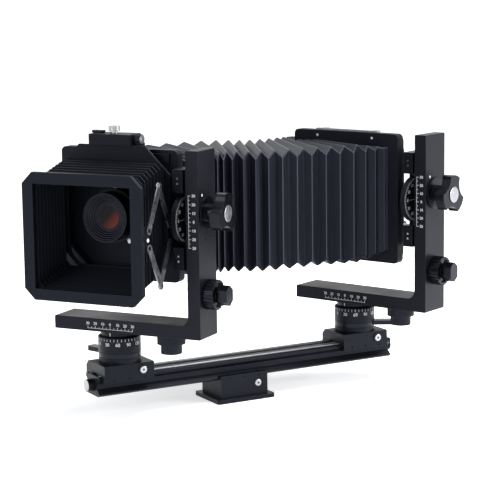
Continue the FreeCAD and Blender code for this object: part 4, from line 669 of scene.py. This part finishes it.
# The lens is a cemented group in a black barrel; the front surface is a shallow dome, and its amber is a
# painted reflection.
# The barrel's funnel is turned in fine steps, and the focusing screen at the back is ground glass.
def coated_glass():
    material, tree, out, place = new_material("coated_lens_glass")
    # the amber is a painted reflection, low on one side where the inner group catches light; elsewhere the
    # glass is near black
    centre = stand("front", 0, 0, LENS_Z)
    from_centre = add(tree, "ShaderNodeVectorMath", {"operation": "SUBTRACT", 1: centre}, _0=place)
    yaw = turret["front"][1]
    towards = Vector((math.cos(yaw) * 0.75, math.sin(yaw) * 0.75, -0.66))
    height = add(tree, "ShaderNodeVectorMath", {"operation": "DOT_PRODUCT", 1: towards},
                 _0=from_centre.outputs[0])
    painted_reflection_mask = add(tree, "ShaderNodeMapRange",
                   {"From Min": -0.001, "From Max": 0.012, "To Min": 0.0, "To Max": 1.0},
                   Value=height.outputs["Value"])
    painted_reflection_tint = add(tree, "ShaderNodeMix", {"data_type": "RGBA", 6: linear("#0d0607"), 7: linear("#7c2c1a")},
               _0=painted_reflection_mask.outputs["Result"])
    shader = add(tree, "ShaderNodeBsdfPrincipled", {"Roughness": 0.08, "Specular IOR Level": 0.10},
                 Base__Color=painted_reflection_tint.outputs[2])
    tree.links.new(shader.outputs[0], out.inputs[0])
    return material


def ground_glass():
    material, tree, out, place = new_material("ground_focusing_glass")
    frost = add(tree, "ShaderNodeTexNoise", {"Scale": 1000 / 0.6, "Detail": 2.0}, Vector=place)
    bump = add(tree, "ShaderNodeBump", {"Strength": 0.3, "Distance": 0.00002}, Height=frost.outputs["Fac"])
    tone = add(tree, "ShaderNodeMix", {"data_type": "RGBA", 6: linear("#8e9696"), 7: linear("#a4abab")},
               _0=frost.outputs["Fac"])
    shader = add(tree, "ShaderNodeBsdfPrincipled",
                 {"Roughness": 0.5, "IOR": 1.5, "Transmission Weight": 0.35},
                 Base__Color=tone.outputs[2], Normal=bump.outputs["Normal"])
    tree.links.new(shader.outputs[0], out.inputs[0])
    return material


FUNNEL_V, FUNNEL_DEEP = -0.0275, 0.0090
FUNNEL_MOUTH, FUNNEL_NARROW = 0.0270, 0.0160
FUNNEL_ROOT = 0.0002       # how far a ring runs into the cone
funnel_black = worn_black("turned_funnel_black", "#1a1b20", "#6a6f7a", 0.34, 0.30, 0.9, 0.006)


def funnel_steps(count, proud, width):
    """Fine raised rings round the funnel's cone, as the tool leaves them to trap stray light."""
    verts, faces, n = [], [], 72
    for k in range(count):
        t = (k + 0.6) / count
        v, r = FUNNEL_V + FUNNEL_DEEP * t, FUNNEL_MOUTH + (FUNNEL_NARROW - FUNNEL_MOUTH) * t
        for dv, dr in ((-width, FUNNEL_ROOT), (-width, -proud), (width, -proud), (width, FUNNEL_ROOT)):
            for i in range(n):
                a = 2 * math.pi * i / n
                verts.append(stand("front", (r + dr) * math.cos(a), v + dv, LENS_Z + (r + dr) * math.sin(a)))
        first = k * 4 * n
        for ring in range(4):
            for i in range(n):
                a, b = first + ring * n, first + (ring + 1) % 4 * n
                faces.append((a + i, a + (i + 1) % n, b + (i + 1) % n, b + i))
    outward(mesh_piece("lens_funnel_rings", verts, faces, "front_frame", funnel_black))


funnel_steps(5, 0.0005, 0.00028)
dress(coated_glass(), "lens_glass")
dress(ground_glass(), "focusing_screen")


# The studio: a wide pale paper floor that melts into a white room, lit by large soft boxes.
# The room shows white to the eye, to metal and to glass, and only its weak grey light falls on the camera.
def seen_directly(tree):
    """1 for rays that show the room itself: straight to the eye, through glass, or off a glossy face."""
    rays = add(tree, "ShaderNodeLightPath")
    eye = add(tree, "ShaderNodeMath", {"operation": "MAXIMUM"}, _0=rays.outputs["Is Camera Ray"],
              _1=rays.outputs["Is Transmission Ray"])
    return add(tree, "ShaderNodeMath", {"operation": "MAXIMUM"}, _0=eye.outputs[0],
               _1=rays.outputs["Is Glossy Ray"])


world = bpy.data.worlds.new("studio")
world.use_nodes = True
bpy.context.scene.world = world
tree = world.node_tree
tree.nodes.clear()
out = add(tree, "ShaderNodeOutputWorld")
dim_room = add(tree, "ShaderNodeBackground", {"Color": linear("#dfe3ea"), "Strength": 0.30})
white_room = add(tree, "ShaderNodeBackground", {"Color": (1, 1, 1, 1), "Strength": 1.0})
room = add(tree, "ShaderNodeMixShader", None, _0=seen_directly(tree).outputs[0], _1=dim_room.outputs[0],
           _2=white_room.outputs[0])
tree.links.new(room.outputs[0], out.inputs[0])

FLOOR_HALF = 30.0          # metres, so that its edge lies in the white
corners = [(x * FLOOR_HALF, y * FLOOR_HALF, 0) for x, y in ((-1, -1), (1, -1), (1, 1), (-1, 1))]
floor_mesh = bpy.data.meshes.new("floor")
floor_mesh.from_pydata(corners, [], [(0, 1, 2, 3)])
floor = bpy.data.objects.new("floor", floor_mesh)
bpy.context.collection.objects.link(floor)
floor_paper, tree, out, place = new_material("pale_floor_paper")
fibre = add(tree, "ShaderNodeTexNoise", {"Scale": 1 / 0.004, "Detail": 2.0}, Vector=place)
tone = add(tree, "ShaderNodeMix", {"data_type": "RGBA", 6: linear("#f0f1f2"), 7: linear("#f8f8f9")},
           _0=fibre.outputs["Fac"])
paper = add(tree, "ShaderNodeBsdfPrincipled", {"Roughness": 0.9, "Specular IOR Level": 0.1},
            Base__Color=tone.outputs[2])
far = add(tree, "ShaderNodeVectorMath", {"operation": "LENGTH"}, _0=place)
lift = add(tree, "ShaderNodeMapRange", {"From Min": 0.15, "From Max": 0.75, "To Min": 0.62, "To Max": 1.0},
           Value=far.outputs["Value"])
glow = add(tree, "ShaderNodeEmission", {"Color": (1, 1, 1, 1)}, Strength=lift.outputs["Result"])
lit = add(tree, "ShaderNodeAddShader", None, _0=paper.outputs[0], _1=glow.outputs[0])
shown = add(tree, "ShaderNodeMixShader", None, _0=seen_directly(tree).outputs[0], _1=paper.outputs[0],
            _2=lit.outputs[0])
tree.links.new(shown.outputs[0], out.inputs[0])
floor_mesh.materials.append(floor_paper)

# name, place, what it points at, side in metres and watts of each soft box
soft_boxes = [("overhead", (0.1, 0.3, 1.6), (0, 0, 0.15), 1.1, 30),
              ("right", (1.4, 1.5, 0.7), (0, 0, 0.2), 0.9, 28),
              ("left", (0.6, -1.9, 0.8), (0, 0, 0.2), 0.9, 9)]
for name, spot, aim, size, power in soft_boxes:
    light = bpy.data.lights.new(name, "AREA")
    light.size, light.energy = size, power
    holder = bpy.data.objects.new(name, light)
    bpy.context.collection.objects.link(holder)
    holder.location = spot
    holder.rotation_euler = (Vector(aim) - Vector(spot)).to_track_quat("-Z", "Y").to_euler()

camera = bpy.data.cameras.new("camera")
camera.lens, camera.sensor_width = 133.8, 36.0
viewpoint = bpy.data.objects.new("camera", camera)
bpy.context.collection.objects.link(viewpoint)
spot, aim = Vector((1.878, -1.027, 0.537)), Vector((0.0805, -0.0344, 0.2081))
roll = math.radians(-0.78)
look = (aim - spot).normalized()
right = look.cross(Vector((0, 0, 1))).normalized()
up = right.cross(look)
r = right * math.cos(roll) + up * math.sin(roll)
u = -right * math.sin(roll) + up * math.cos(roll)
viewpoint.matrix_world = Matrix(((r.x, u.x, -look.x, spot.x), (r.y, u.y, -look.y, spot.y),
                                 (r.z, u.z, -look.z, spot.z), (0, 0, 0, 1)))
bpy.context.scene.camera = viewpoint
bpy.context.scene.view_settings.view_transform = "Standard"
